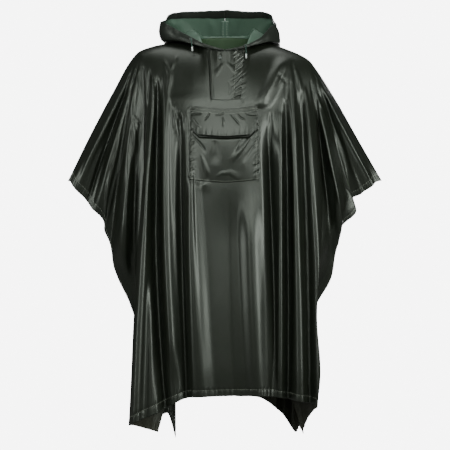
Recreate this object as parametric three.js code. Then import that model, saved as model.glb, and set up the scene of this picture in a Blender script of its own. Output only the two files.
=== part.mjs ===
// Rain poncho with a kangaroo pocket and a hood folded back, worn by an unseen figure whose
// arms are held a little away from the sides. Coated cloth hangs from the shoulders and arms in
// long folds, and its side edges are tucked in behind the outermost folds, down to the corners.
// Millimetres: +X to the viewer's right, -Y to the viewer (the front of the garment), +Z up.
// The origin is the middle of the neck opening, level with the tops of the shoulders.
import * as THREE from "three";

const cloth = 1.2; // wall of the coated cloth
const seamGap = 0.3; // clear space between two pieces at a seam or a lap

const outerGreen = { color: 0x2b2f2c, roughness: 0.32, metalness: 0 };
const hoodGreen = { color: 0x2e3330, roughness: 0.4, metalness: 0 };
const tapeGreen = { color: 0x3f5b4b, roughness: 0.5, metalness: 0 };
const cordGreen = { color: 0x1f3a30, roughness: 0.8, metalness: 0 };
const tipClear = { color: 0xc9d2cb, roughness: 0.35, metalness: 0 };
const snapMetal = { color: 0x6f7672, roughness: 0.35, metalness: 0.8 };

// Heights down a thread of cloth, as shares of its length from the shoulder line to the hem.
const levels = [0, 0.16, 0.42, 0.72, 0.9, 1];

// Guide threads of the front, from the viewer's left side edge to the right one. "cut" is the
// thread's place across the flat cloth, as a share of the 700 mm from its centre to a side edge,
// "over" says how far it rolls over a shoulder or an arm, and each place is [across, depth, height].
const frontThreads = [
  { cut: -1.0, over: 1, top: [-471, 0, -402], chest: [-420, -22, -456], waist: [-345, -10, -594],
    thigh: [-279, 10, -798], calf: [-172, 30, -1020], hem: [-204, 20, -1161] },
  { cut: -0.82, over: 1, top: [-399, 0, -258], chest: [-366, -45, -324], waist: [-333, -38, -561],
    thigh: [-264, 12, -800], calf: [-195, 30, -1015], hem: [-216, 10, -1156] },
  { cut: -0.64, over: 1, top: [-327, 0, -126], chest: [-292, -58, -246], waist: [-294, -74, -508],
    thigh: [-250, -15, -802], calf: [-238, -5, -1012], hem: [-243, -20, -1145] },
  { cut: -0.46, over: 1, top: [-268, 0, -38], chest: [-243, -72, -206], waist: [-241, -88, -482],
    thigh: [-262, -97, -804], calf: [-272, -97, -1011], hem: [-277, -95, -1128] },
  { cut: -0.4, over: 1, top: [-249, 0, -14], chest: [-231, -88, -192], waist: [-249, -128, -471],
    thigh: [-270, -138, -804], calf: [-279, -138, -1011], hem: [-285, -134, -1124] },
  { cut: -0.27, over: 1, top: [-180, 0, 6], chest: [-184, -108, -171], waist: [-184, -140, -441],
    thigh: [-190, -148, -756], calf: [-195, -148, -950], hem: [-195, -145, -1086] },
  { cut: -0.14, over: 0.8, top: [-92, 0, 30], chest: [-100, -130, -150], waist: [-106, -156, -432],
    thigh: [-106, -160, -742], calf: [-106, -160, -940], hem: [-105, -160, -1042] },
  { cut: -0.07, over: 0.2, top: [-58, -85, -4], chest: [-50, -138, -158], waist: [-54, -160, -437],
    thigh: [-56, -165, -745], calf: [-56, -166, -940], hem: [-55, -166, -1039] },
  { cut: 0, over: 0, top: [0, -107, -14], chest: [0, -140, -162], waist: [0, -160, -440],
    thigh: [0, -165, -745], calf: [0, -166, -940], hem: [0, -166, -1038] },
  { cut: 0.07, over: 0.2, top: [58, -85, -4], chest: [48, -138, -158], waist: [51, -160, -437],
    thigh: [58, -165, -745], calf: [60, -166, -940], hem: [58, -166, -1037] },
  { cut: 0.14, over: 0.8, top: [92, 0, 28], chest: [96, -130, -150], waist: [101, -156, -432],
    thigh: [108, -160, -742], calf: [115, -160, -930], hem: [112, -160, -1038] },
  { cut: 0.27, over: 1, top: [186, 0, -9], chest: [178, -108, -171], waist: [186, -140, -441],
    thigh: [186, -144, -756], calf: [188, -142, -950], hem: [178, -134, -1046] },
  { cut: 0.4, over: 1, top: [249, 0, -36], chest: [268, -78, -195], waist: [288, -126, -471],
    thigh: [272, -137, -800], calf: [282, -136, -966], hem: [273, -130, -1070] },
  { cut: 0.46, over: 1, top: [268, 0, -60], chest: [282, -62, -208], waist: [287, -86, -488],
    thigh: [264, -97, -804], calf: [276, -97, -980], hem: [266, -95, -1082] },
  { cut: 0.64, over: 1, top: [327, 0, -150], chest: [309, -58, -258], waist: [331, -74, -480],
    thigh: [252, -15, -798], calf: [240, -5, -985], hem: [248, -20, -1118] },
  { cut: 0.82, over: 1, top: [399, 0, -276], chest: [369, -45, -345], waist: [352, -38, -531],
    thigh: [262, 12, -780], calf: [215, 30, -985], hem: [240, 10, -1145] },
  { cut: 1.0, over: 1, top: [471, 0, -399], chest: [408, -20, -441], waist: [341, -10, -594],
    thigh: [273, 10, -774], calf: [188, 30, -985], hem: [235, 20, -1158] },
];

// Guide threads of one half of the back, from the centre out; the other half mirrors them, and
// both start from the front's own shoulder line.
const backThreads = [
  { cut: 0, over: 0, top: [0, 90, 44], chest: [0, 126, -130], waist: [0, 148, -430],
    thigh: [0, 156, -742], calf: [0, 158, -940], hem: [0, 158, -1062] },
  { cut: 0.07, over: 0.2, top: [60, 68, 40], chest: [56, 124, -128], waist: [57, 147, -430],
    thigh: [58, 155, -742], calf: [58, 157, -940], hem: [57, 157, -1063] },
  { cut: 0.14, over: 0.8, top: [92, 0, 30], chest: [102, 116, -125], waist: [108, 142, -430],
    thigh: [108, 150, -742], calf: [107, 152, -940], hem: [106, 150, -1068] },
  { cut: 0.27, over: 1, top: [180, 0, 6], chest: [186, 96, -160], waist: [188, 126, -438],
    thigh: [186, 136, -752], calf: [182, 138, -950], hem: [176, 136, -1086] },
  { cut: 0.4, over: 1, top: [249, 0, -14], chest: [240, 78, -188], waist: [246, 112, -468],
    thigh: [250, 122, -790], calf: [250, 124, -985], hem: [246, 120, -1108] },
  { cut: 0.46, over: 1, top: [268, 0, -38], chest: [252, 66, -203], waist: [243, 82, -482],
    thigh: [243, 88, -795], calf: [240, 92, -990], hem: [232, 92, -1120] },
  { cut: 0.64, over: 1, top: [327, 0, -126], chest: [296, 56, -246], waist: [292, 70, -504],
    thigh: [244, 52, -798], calf: [216, 58, -1000], hem: [190, 66, -1146] },
  { cut: 0.82, over: 1, top: [399, 0, -258], chest: [366, 44, -324], waist: [328, 40, -558],
    thigh: [250, 32, -800], calf: [184, 48, -1010], hem: [164, 56, -1164] },
  { cut: 1.0, over: 1, top: [471, 0, -402], chest: [414, 22, -458], waist: [338, 14, -594],
    thigh: [262, 22, -798], calf: [168, 42, -1020], hem: [152, 46, -1180] },
];

// The back's right side hangs lower at its foot than the mirrored left one.
const backRightFoot = [
  { cut: 0.27, calf: [178, 138, -955], hem: [168, 136, -1100] },
  { cut: 0.4, calf: [246, 124, -985], hem: [226, 118, -1142] },
  { cut: 0.46, calf: [240, 92, -992], hem: [224, 92, -1150] },
  { cut: 0.64, calf: [232, 62, -1000], hem: [221, 68, -1158] },
  { cut: 0.82, calf: [226, 50, -1010], hem: [220, 56, -1164] },
  { cut: 1.0, calf: [206, 42, -1020], hem: [222, 46, -1170] },
];

// Largest folds of the front, each a ridge (tall above 0) or a trough (tall below 0) along a line
// through three places on the front view. "wide" is half of its width. Sleeve folds fan out from
// the shoulder points, and lie on the cloth beyond the outermost fold of the body.
const frontFolds = [
  { on: "sleeve", top: [-283, -52], mid: [-372, -232], low: [-480, -470], wide: 34, tall: 15 },
  { on: "sleeve", top: [-275, -72], mid: [-347, -262], low: [-440, -545], wide: 32, tall: -15 },
  { on: "sleeve", top: [-268, -60], mid: [-322, -290], low: [-408, -620], wide: 34, tall: 17 },
  { on: "sleeve", top: [-262, -90], mid: [-304, -330], low: [-360, -690], wide: 30, tall: -18 },
  { on: "sleeve", top: [-256, -60], mid: [-288, -330], low: [-318, -790], wide: 30, tall: 18 },
  { on: "sleeve", top: [-266, -240], mid: [-272, -480], low: [-268, -860], wide: 26, tall: -14 },
  { on: "body", top: [-212, -50], mid: [-236, -470], low: [-272, -1300], wide: 28, tall: 18 },
  { on: "body", top: [-195, -60], mid: [-206, -501], low: [-150, -1300], wide: 30, tall: -32 },
  { on: "body", top: [-180, -80], mid: [-177, -456], low: [-148, -1000], wide: 24, tall: 15 },
  { on: "body", top: [-133, -190], mid: [-128, -516], low: [-106, -1250], wide: 24, tall: -18 },
  { on: "body", top: [-118, -240], mid: [-94, -620], low: [-48, -1300], wide: 42, tall: 12 },
  { on: "body", top: [15, -400], mid: [18, -756], low: [44, -1350], wide: 68, tall: -15 },
  { on: "body", top: [72, -400], mid: [84, -756], low: [128, -1350], wide: 44, tall: 12 },
  { on: "body", top: [122, -170], mid: [141, -576], low: [157, -1250], wide: 28, tall: -24 },
  { on: "body", top: [164, -165], mid: [165, -546], low: [150, -1250], wide: 18, tall: 15 },
  { on: "body", top: [183, -150], mid: [188, -546], low: [184, -1250], wide: 22, tall: -26 },
  { on: "body", top: [199, -45], mid: [214, -426], low: [226, -1250], wide: 22, tall: 18 },
  { on: "body", top: [224, -70], mid: [238, -420], low: [252, -1200], wide: 20, tall: -18 },
  { on: "body", top: [246, -100], mid: [267, -456], low: [286, -1250], wide: 24, tall: 14 },
  { on: "sleeve", top: [258, -70], mid: [292, -320], low: [326, -700], wide: 26, tall: -18 },
  { on: "sleeve", top: [262, -60], mid: [310, -300], low: [372, -620], wide: 30, tall: 22 },
  { on: "sleeve", top: [270, -90], mid: [338, -300], low: [412, -560], wide: 30, tall: -17 },
  { on: "sleeve", top: [272, -62], mid: [366, -250], low: [470, -470], wide: 34, tall: 15 },
  { on: "body", top: [178, -20], mid: [142, -110], low: [84, -220], wide: 38, tall: 9 },
];

// Folds of the back, in the same columns; "sleeve" and "body" mean the same there.
const backFolds = [
  { on: "sleeve", top: [-285, -60], mid: [-362, -232], low: [-468, -500], wide: 28, tall: 14 },
  { on: "sleeve", top: [-272, -70], mid: [-322, -240], low: [-410, -560], wide: 26, tall: -15 },
  { on: "sleeve", top: [-260, -50], mid: [-298, -286], low: [-340, -700], wide: 28, tall: 18 },
  { on: "sleeve", top: [285, -70], mid: [360, -246], low: [470, -500], wide: 28, tall: 15 },
  { on: "sleeve", top: [272, -80], mid: [326, -262], low: [412, -570], wide: 26, tall: -14 },
  { on: "sleeve", top: [262, -55], mid: [300, -300], low: [344, -700], wide: 28, tall: 18 },
  { on: "body", top: [-214, -60], mid: [-226, -480], low: [-240, -1300], wide: 30, tall: 20 },
  { on: "body", top: [-180, -90], mid: [-178, -520], low: [-170, -1300], wide: 30, tall: -26 },
  { on: "body", top: [-140, -170], mid: [-128, -560], low: [-112, -1300], wide: 30, tall: 20 },
  { on: "body", top: [-92, -240], mid: [-76, -600], low: [-64, -1300], wide: 30, tall: -16 },
  { on: "body", top: [-30, -260], mid: [-22, -640], low: [-14, -1300], wide: 40, tall: 16 },
  { on: "body", top: [36, -260], mid: [42, -620], low: [48, -1300], wide: 34, tall: -18 },
  { on: "body", top: [96, -220], mid: [98, -580], low: [102, -1300], wide: 32, tall: 19 },
  { on: "body", top: [146, -150], mid: [152, -540], low: [154, -1300], wide: 28, tall: -24 },
  { on: "body", top: [190, -80], mid: [202, -500], low: [210, -1300], wide: 28, tall: 20 },
];

// Scallops of the side edges, where folds run out over the hem: "at" is the level, "reach" is
// how far the edge stands out from its even line, or in where it is below 0.
const sideLobes = [
  { side: -1, at: 0.08, wide: 0.07, reach: 9 },
  { side: -1, at: 0.3, wide: 0.06, reach: -6 },
  { side: -1, at: 0.58, wide: 0.13, reach: 12 },
  { side: 1, at: 0.09, wide: 0.045, reach: 7 },
  { side: 1, at: 0.19, wide: 0.04, reach: -20 },
  { side: 1, at: 0.262, wide: 0.05, reach: 17 },
  { side: 1, at: 0.35, wide: 0.06, reach: -14 },
  { side: 1, at: 0.58, wide: 0.12, reach: 6 },
];

// Places across the cut, as shares of its half width, and down it, as shares of a thread's length.
const sideHem = 0.972; // inner edge of the side hems
const bodyHalf = 0.4; // outermost fold of the body
const bodyEnd = [0.4, 0.47]; // where body folds hand over to sleeve folds
const pocketHalf = 0.14;
const neckHalf = 0.14;
const tapeHalf = 0.018; // half of the bound seam's width inside the hood
const placketLeft = -0.0525;
const placketRight = 0.07;
const placketFoot = 0.16;
const pocketTop = 0.186;
const pocketFoot = 0.388;
const flapTop = 0.19;
const flapFoot = 0.264;
const flapCorner = 0.104; // beyond this the flap's foot slants up
const flapCut = 0.023;
const hemTop = 0.98; // upper edge of the bottom hem
const fullFold = 45; // depth of hollow behind the cloth at which folds have their full height

const hemWall = 2; // cloth folded twice and stitched
const pocketFill = 9; // how far the pocket stands off the panel in its middle
const flapStand = 3; // how far the flap's foot stands off the pocket
const flapRows = 5;
const snapRadius = 6.5;
const placketSnap = { cut: -0.018, level: 0.022, clear: 0.6 };
const sideSnaps = [
  { name: "side_snap_left", cut: -0.95, level: 0.45, clear: 0.9 },
  { name: "side_snap_right", cut: 0.95, level: 0.37, clear: 2.9 },
];
const cordRadius = 1.5;
const cordSteps = 8;
const tipLength = 14;
const frontPart = 1; // each hood half's front edge stands this far from the centre
const seamSide = 1.8; // the hood's edge stands this far inside the neckline's edge

// Hood profiles from the centre front (around 0) to the centre back (1), on each side. Each
// station is [outward, up] from the neckline: the seam, the roll over the neck, the layer that
// lies on the back, the pouch's foot, its outside, the swell below the rim, and the rim.
const hoodStations = [0, 0.1, 0.28, 0.46, 0.64, 0.84, 1];
const rimTop = 0.965; // inner edge of the drawcord channel
const hoodSections = {
  left: [
    { around: 0, seam: [0, 0.2], roll: [0, 1], inner: [0, 2], pouch: [0.5, 3],
      outer: [0.5, 4], swell: [0, 5], rim: [-0.5, 6] },
    { around: 0.22, seam: [0, 0.2], roll: [2, 6], inner: [8, 5], pouch: [13, 4],
      outer: [17, 7], swell: [17, 12], rim: [14, 17] },
    { around: 0.36, seam: [0, 0.2], roll: [4, 22], inner: [22, 12], pouch: [42, 3],
      outer: [52, 7], swell: [53, 19], rim: [47, 30] },
    { around: 0.55, seam: [0, 0.2], roll: [12, 27], inner: [42, 14], pouch: [78, -10],
      outer: [100, -5], swell: [103, 28], rim: [97, 58] },
    { around: 0.66, seam: [0, 0.2], roll: [20, 24], inner: [48, 8], pouch: [84, -36],
      outer: [114, -26], swell: [110, 30], rim: [100, 76] },
    { around: 0.78, seam: [0, 0.2], roll: [12, 8], inner: [36, -22], pouch: [76, -122],
      outer: [116, -86], swell: [104, 24], rim: [82, 89] },
    { around: 1, seam: [0, 0.2], roll: [9, 5], inner: [34, -74], pouch: [62, -190],
      outer: [112, -134], swell: [78, 10], rim: [44, 88] },
  ],
  right: [
    { around: 0, seam: [0, 0.2], roll: [0, 1], inner: [0, 2], pouch: [0.5, 3],
      outer: [0.5, 4], swell: [0, 5], rim: [-0.5, 6] },
    { around: 0.22, seam: [0, 0.2], roll: [2, 6], inner: [7, 5], pouch: [11, 4],
      outer: [14, 5], swell: [14, 8], rim: [12, 12] },
    { around: 0.36, seam: [0, 0.2], roll: [3, 24], inner: [20, 10], pouch: [36, 2],
      outer: [44, 5], swell: [44, 14], rim: [40, 24] },
    { around: 0.55, seam: [0, 0.2], roll: [2, 31], inner: [34, 14], pouch: [62, -10],
      outer: [78, -8], swell: [70, 30], rim: [58, 52] },
    { around: 0.66, seam: [0, 0.2], roll: [14, 32], inner: [44, 8], pouch: [76, -36],
      outer: [100, -28], swell: [88, 30], rim: [70, 74] },
    { around: 0.78, seam: [0, 0.2], roll: [13, 10], inner: [34, -22], pouch: [72, -120],
      outer: [110, -84], swell: [88, 24], rim: [68, 86] },
    { around: 1, seam: [0, 0.2], roll: [9, 5], inner: [34, -74], pouch: [62, -190],
      outer: [112, -134], swell: [78, 10], rim: [44, 88] },
  ],
};

// Free ends of the drawcord: the place round the neck ring and up the hood where each comes
// out, and its route from there, each step [across, depth, height] from the exit.
const cordEnds = [
  { side: "left", place: 5.2, rise: 0.9,
    route: [[0, 0, 0], [0, -4, 0.5], [1, -7, -3], [2, -8, -9], [3, -8, -16], [4, -8, -25]] },
  { side: "right", place: 24.4, rise: 0.9,
    route: [[0, 0, 0], [0, -4, 0.5], [0, -7, -3], [0, -8, -9], [1, -8, -16], [1, -8, -25]] },
];

const smoothStep = (from, to, value) => THREE.MathUtils.smoothstep(value, from, to);

// Smooth curve through values at uneven knots, read at one place, which never overshoots them.
function through(knots, values, at) {
  const last = knots.length - 1;
  let i = 0;
  while (i < last - 1 && at > knots[i + 1]) i++;
  const slope = (k) => (values[k + 1] - values[k]) / (knots[k + 1] - knots[k]);
  const tangent = (k) => {
    if (k === 0) return slope(0);
    if (k === last) return slope(last - 1);
    const before = slope(k - 1);
    const after = slope(k);
    return before * after <= 0 ? 0 : (2 * before * after) / (before + after);
  };
  const span = knots[i + 1] - knots[i];
  const t = (at - knots[i]) / span;
  const t2 = t * t;
  const t3 = t2 * t;
  return (
    (2 * t3 - 3 * t2 + 1) * values[i] +
    (t3 - 2 * t2 + t) * span * tangent(i) +
    (3 * t2 - 2 * t3) * values[i + 1] +
    (t3 - t2) * span * tangent(i + 1)
  );
}

// Where a guide thread is at one level. Near the top it leaves the shoulder line flat and rolls
// over the shoulder or the arm.
function onThread(thread, level) {
  const places = [thread.top, thread.chest, thread.waist, thread.thigh, thread.calf, thread.hem];
  const at = [0, 1, 2].map((axis) => through(levels, places.map((p) => p[axis]), level));
  if (level < levels[1]) {
    const t = level / levels[1];
    const quarter = (Math.PI / 2) * t;
    const share = thread.over * (1 - t * t);
    const roll = [t, Math.sin(quarter), 1 - Math.cos(quarter)];
    roll.forEach((r, axis) => {
      const arc = thread.top[axis] + (thread.chest[axis] - thread.top[axis]) * r;
      at[axis] += share * (arc - at[axis]);
    });
  }
  return at;
}

// How far the folds of one layer lift the cloth at a place on the front view.
function foldAt(folds, layer, across, height) {
  let lift = 0;
  for (const fold of folds) {
    if (fold.on !== layer) continue;
    const drop = fold.top[1] - fold.low[1];
    const t = (fold.top[1] - height) / drop;
    if (t <= 0 || t >= 1) continue;
    const m = (fold.top[1] - fold.mid[1]) / drop;
    const line =
      (fold.top[0] * (t - m) * (t - 1)) / m +
      (fold.mid[0] * t * (t - 1)) / (m * (m - 1)) +
      (fold.low[0] * t * (t - m)) / (1 - m);
    const q = (across - line) / fold.wide;
    if (Math.abs(q) >= 1) continue;
    const grown = smoothStep(0, 0.2, t) * (1 - smoothStep(0.86, 1, t));
    lift += fold.tall * grown * (1 - q * q) ** 2;
  }
  return lift;
}

// A point of a panel. "toFront" is -1 on the front and 1 on the back.
function panelPoint(threads, folds, toFront, cut, level) {
  const guides = threads.map((thread) => onThread(thread, level));
  const knots = threads.map((thread) => thread.cut);
  const [x, y, z] = [0, 1, 2].map((axis) => through(knots, guides.map((g) => g[axis]), cut));
  const onSleeve = smoothStep(bodyEnd[0], bodyEnd[1], Math.abs(cut));
  const room = smoothStep(0, fullFold, y * toFront) * smoothStep(0, 0.07, level);
  const body = foldAt(folds, "body", x, z) * (1 - onSleeve);
  const sleeve = foldAt(folds, "sleeve", x, z) * onSleeve;
  let reach = 0;
  for (const lobe of sideLobes) {
    if (lobe.side !== Math.sign(cut)) continue;
    const q = (level - lobe.at) / lobe.wide;
    if (Math.abs(q) < 1) reach += lobe.side * lobe.reach * (1 - q * q) ** 2;
  }
  const out = reach * smoothStep(0.78, 1, Math.abs(cut));
  return new THREE.Vector3(x + out, y + toFront * room * (body + sleeve), z);
}

// Places through named stops: stops[i] to stops[i + 1] in counts[i] even steps.
function ladder(stops, counts) {
  const places = [stops[0]];
  counts.forEach((count, i) => {
    for (let k = 1; k <= count; k++) places.push(stops[i] + ((stops[i + 1] - stops[i]) * k) / count);
  });
  return places;
}

// Points, and the outward direction at each, on a grid of rows and columns.
function makeGrid(rows, columns, point) {
  const points = rows.map((row) => columns.map((column) => point(column, row)));
  const normals = points.map((line, i) =>
    line.map((_, j) => {
      const up = points[Math.max(i - 1, 0)][j];
      const down = points[Math.min(i + 1, rows.length - 1)][j];
      const left = line[Math.max(j - 1, 0)];
      const right = line[Math.min(j + 1, columns.length - 1)];
      const fall = new THREE.Vector3().subVectors(down, up);
      const run = new THREE.Vector3().subVectors(right, left);
      return fall.cross(run).normalize();
    }),
  );
  return { rows, columns, points, normals };
}

const nearest = (places, value) =>
  places.reduce((best, place, i) => (Math.abs(place - value) < Math.abs(places[best] - value) ? i : best), 0);

// Part of a grid between two columns and two rows, lifted off it by lift(column, row).
function patch(grid, columnRange, rowRange, lift) {
  const [c0, c1] = columnRange.map((c) => nearest(grid.columns, c)).sort((a, b) => a - b);
  const [r0, r1] = rowRange.map((r) => nearest(grid.rows, r));
  const rows = grid.rows.slice(r0, r1 + 1);
  const columns = grid.columns.slice(c0, c1 + 1);
  const trim = (table) => table.slice(r0, r1 + 1).map((line) => line.slice(c0, c1 + 1));
  const normals = trim(grid.normals);
  const points = trim(grid.points).map((line, i) =>
    line.map((p, j) => p.clone().addScaledVector(normals[i][j], lift(columns[j], rows[i]))),
  );
  return { rows, columns, points, normals };
}

// The point and outward direction of a grid at any place between its columns and rows.
function onGrid(grid, column, row) {
  const between = (places, value) => {
    const falling = places[places.length - 1] < places[0];
    let i = 0;
    const past = (next) => (falling ? value < next : value > next);
    while (i < places.length - 2 && past(places[i + 1])) i++;
    return [i, (value - places[i]) / (places[i + 1] - places[i])];
  };
  const [j, u] = between(grid.columns, column);
  const [i, v] = between(grid.rows, row);
  const mix = (table) => {
    const top = table[i][j].clone().lerp(table[i][j + 1], u);
    const low = table[i + 1][j].clone().lerp(table[i + 1][j + 1], u);
    return top.lerp(low, v);
  };
  return { point: mix(grid.points), normal: mix(grid.normals).normalize() };
}

// Closed wall around a grid. "thickness" may change with column and row, and what is over the
// cloth's own is added on the inside. Each square is split along the way that folds spread.
function wall(grid, thickness = () => cloth) {
  const R = grid.points.length;
  const C = grid.points[0].length;
  const positions = [];
  for (const side of ["outer", "inner"]) {
    grid.points.forEach((line, i) =>
      line.forEach((p, j) => {
        const inside = cloth / 2 - thickness(grid.columns[j], grid.rows[i]);
        const moved = p.clone().addScaledVector(grid.normals[i][j], side === "outer" ? cloth / 2 : inside);
        positions.push(moved.x, moved.y, moved.z);
      }),
    );
  }
  const index = [];
  const outer = (i, j) => i * C + j;
  const inner = (i, j) => R * C + i * C + j;
  const edge = (a, b, a2, b2) => index.push(b, a, a2, b, a2, b2);
  for (let i = 0; i < R - 1; i++) {
    for (let j = 0; j < C - 1; j++) {
      const [here, next] = [grid.columns[j], grid.columns[j + 1]];
      const spreads = Math.abs(next) > Math.abs(here) || Math.abs(here) <= bodyHalf;
      for (const [at, a, b] of [[outer, 1, 0], [inner, 0, 1]]) {
        const ring = [at(i, j), at(i + a, j + b), at(i + 1, j + 1), at(i + b, j + a)];
        if (spreads) index.push(ring[0], ring[1], ring[2], ring[0], ring[2], ring[3]);
        else index.push(ring[1], ring[2], ring[3], ring[1], ring[3], ring[0]);
      }
    }
    edge(outer(i, 0), outer(i + 1, 0), inner(i, 0), inner(i + 1, 0));
    edge(outer(i + 1, C - 1), outer(i, C - 1), inner(i + 1, C - 1), inner(i, C - 1));
  }
  for (let j = 0; j < C - 1; j++) {
    edge(outer(0, j + 1), outer(0, j), inner(0, j + 1), inner(0, j));
    edge(outer(R - 1, j), outer(R - 1, j + 1), inner(R - 1, j), inner(R - 1, j + 1));
  }
  const geometry = new THREE.BufferGeometry();
  geometry.setAttribute("position", new THREE.Float32BufferAttribute(positions, 3));
  geometry.setIndex(index);
  return geometry;
}

// Turns a panel's top edge square to the shoulder seam, so that front and back meet evenly.
function squareSeam(grid) {
  grid.normals[0].forEach((normal, j) => {
    if (Math.abs(grid.columns[j]) < neckHalf) return;
    normal.y = 0;
    normal.normalize();
  });
}

const poncho = new THREE.Group();
function add(name, geometry, finish) {
  const mesh = new THREE.Mesh(geometry, new THREE.MeshStandardMaterial(finish));
  mesh.name = name;
  poncho.add(mesh);
  return mesh;
}

// Front panel. Columns are closer over the body, where folds are tight, and the pocket fills the
// middle run. The last rows and columns are the stitched hems.
const frontColumns = ladder(
  [-1, -sideHem, -bodyHalf, -pocketHalf, pocketHalf, bodyHalf, sideHem, 1],
  [1, 15, 13, 16, 13, 15, 1],
);
const frontRows = ladder(
  [0, 0.03, placketFoot, pocketTop, flapFoot, pocketFoot, 0.72, hemTop, 1],
  [2, 5, 1, 3, 4, 5, 3, 1],
);
const hemmed = (cut, level) => (level > hemTop || Math.abs(cut) > sideHem ? hemWall : cloth);
const front = makeGrid(frontRows, frontColumns, (cut, level) =>
  panelPoint(frontThreads, frontFolds, -1, cut, level),
);
squareSeam(front);
add("front_panel", wall(front, hemmed), outerGreen);

// Back panel. It runs from the viewer's right to the left, so that its outside faces away, and
// its top edge is the front's own shoulder line.
const mirrored = backThreads.slice(1).map((thread) => {
  const flipped = { cut: -thread.cut, over: thread.over };
  for (const level of ["top", "chest", "waist", "thigh", "calf", "hem"]) {
    const [x, y, z] = thread[level];
    flipped[level] = [-x, y, z];
  }
  return flipped;
});
const rightHalf = backThreads.map((thread) => ({
  ...thread,
  ...backRightFoot.find((foot) => foot.cut === thread.cut),
}));
const backGuides = [...mirrored.reverse(), ...rightHalf];
backGuides.forEach((thread) => {
  const twin = frontThreads.find((f) => f.cut === thread.cut && thread.over >= 0.8);
  if (twin) thread.top = [twin.top[0], twin.top[1] + seamGap, twin.top[2]];
});
const backColumns = ladder(
  [1, sideHem, bodyHalf, neckHalf, tapeHalf, 0, -tapeHalf, -neckHalf, -bodyHalf, -sideHem, -1],
  [1, 12, 8, 5, 1, 1, 5, 8, 12, 1],
);
const backRows = ladder([0, 0.03, levels[1], 0.42, 0.72, hemTop, 1], [2, 4, 5, 4, 3, 1]);
const back = makeGrid(backRows, backColumns, (cut, level) =>
  panelPoint(backGuides, backFolds, 1, cut, level),
);
squareSeam(back);
add("back_panel", wall(back, hemmed), outerGreen);

// Neck ring: the panels' own top edges from the centre front round the viewer's left to the
// centre back, and on round the right.
const middleFront = nearest(front.columns, 0);
const neckFront = (sign) => front.points[0].filter((_, j) => {
  const cut = front.columns[j];
  return Math.abs(cut) < neckHalf + 1e-6 && (j === middleFront || Math.sign(cut) === sign);
});
const neckBack = back.points[0].filter((_, j) => Math.abs(back.columns[j]) < neckHalf - 1e-6);
const neckRing = [...neckFront(-1).reverse(), ...neckBack.reverse(), ...neckFront(1).reverse()];

// Share of the way round the neck from the centre front, 1 at the centre back, -1..0 past it.
const ringLengths = [0];
neckRing.slice(1).forEach((p, i) => ringLengths.push(ringLengths[i] + p.distanceTo(neckRing[i])));
const backIndex = ringLengths.length >> 1;
const around = ringLengths.map((length, i) => {
  const total = ringLengths[ringLengths.length - 1];
  const half = ringLengths[backIndex];
  return i <= backIndex ? length / half : -(total - length) / (total - half);
});

// A point of the hood: "place" is the index round the neck ring and "rise" runs from the neck
// seam (0) over the roll, down into the pouch, and up to the rim (1).
function hoodPoint(place, rise) {
  const base = neckRing[place];
  const share = Math.abs(around[place]);
  const side = around[place] < 0 ? "right" : "left";
  const sections = hoodSections[side];
  const beyond = sections[sections.length - 2];
  const table = [...sections, { ...beyond, around: 2 - beyond.around }];
  const knots = table.map((section) => section.around);
  const stations = ["seam", "roll", "inner", "pouch", "outer", "swell", "rim"];
  const read = (axis) =>
    stations.map((station) => through(knots, table.map((section) => section[station][axis]), share));
  const out = through(hoodStations, read(0), rise);
  const up = through(hoodStations, read(1), rise);
  const before = neckRing[Math.max(place - 1, 0)];
  const after = neckRing[Math.min(place + 1, neckRing.length - 1)];
  const outward = new THREE.Vector3(before.y - after.y, after.x - before.x, 0).normalize();
  if (place === backIndex) outward.set(0, 1, 0);
  const point = base.clone().addScaledVector(outward, out - seamSide);
  point.z += up;
  return point;
}
const hoodColumns = neckRing.map((_, i) => i);
const hoodRows = ladder([0, hoodStations[1], hoodStations[3], hoodStations[5], rimTop, 1], [3, 6, 7, 2, 1]);
const hood = makeGrid(hoodRows, hoodColumns, hoodPoint);

// One half of a grid that spans the hood, with the edges at the centre moved apart.
function half(grid, from, to) {
  const piece = patch(grid, [from, to], [grid.rows[0], grid.rows[grid.rows.length - 1]], () => 0);
  const toLeft = from < backIndex;
  const shift = toLeft ? -1 : 1;
  piece.points.forEach((line) => {
    line[0].x += shift * (toLeft ? frontPart : seamGap / 2);
    line[line.length - 1].x += shift * (toLeft ? seamGap / 2 : frontPart);
  });
  return piece;
}
const lastPlace = neckRing.length - 1;
add("hood_left", wall(half(hood, 0, backIndex)), hoodGreen);
add("hood_right", wall(half(hood, backIndex, lastPlace)), hoodGreen);

// Drawcord channel: the rim's edge turned in and stitched down, one strip to each hood half.
const rimBand = patch(hood, [1, lastPlace - 1], [rimTop, 1], () => -(cloth + seamGap));
add("hood_rim_left", wall(half(rimBand, 1, backIndex)), hoodGreen);
add("hood_rim_right", wall(half(rimBand, backIndex, lastPlace - 1)), hoodGreen);

// Bound seam inside the centre back, from the roll at the neck to the drawcord channel.
const seamTape = patch(
  hood,
  [backIndex - 1, backIndex + 1],
  [hoodStations[1], hoodRows[hoodRows.length - 3]],
  () => -(cloth + seamGap),
);
add("hood_seam", wall(seamTape), tapeGreen);

// Placket, pocket and flap lie on the front panel and are made from its own points, moved out.
const onPanel = cloth + seamGap;
const placket = patch(front, [placketLeft, placketRight], [0, placketFoot], () => onPanel);
add("placket", wall(placket), outerGreen);

function pocketLift(cut, level) {
  const side = 1 - (cut / pocketHalf) ** 2;
  const t = (level - pocketTop) / (pocketFoot - pocketTop);
  return onPanel + pocketFill * side * Math.sin(Math.PI * Math.min(1, 0.25 + 0.75 * t));
}
const pocket = patch(front, [-pocketHalf, pocketHalf], [pocketTop, pocketFoot], pocketLift);
add("pocket", wall(pocket), outerGreen);

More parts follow.
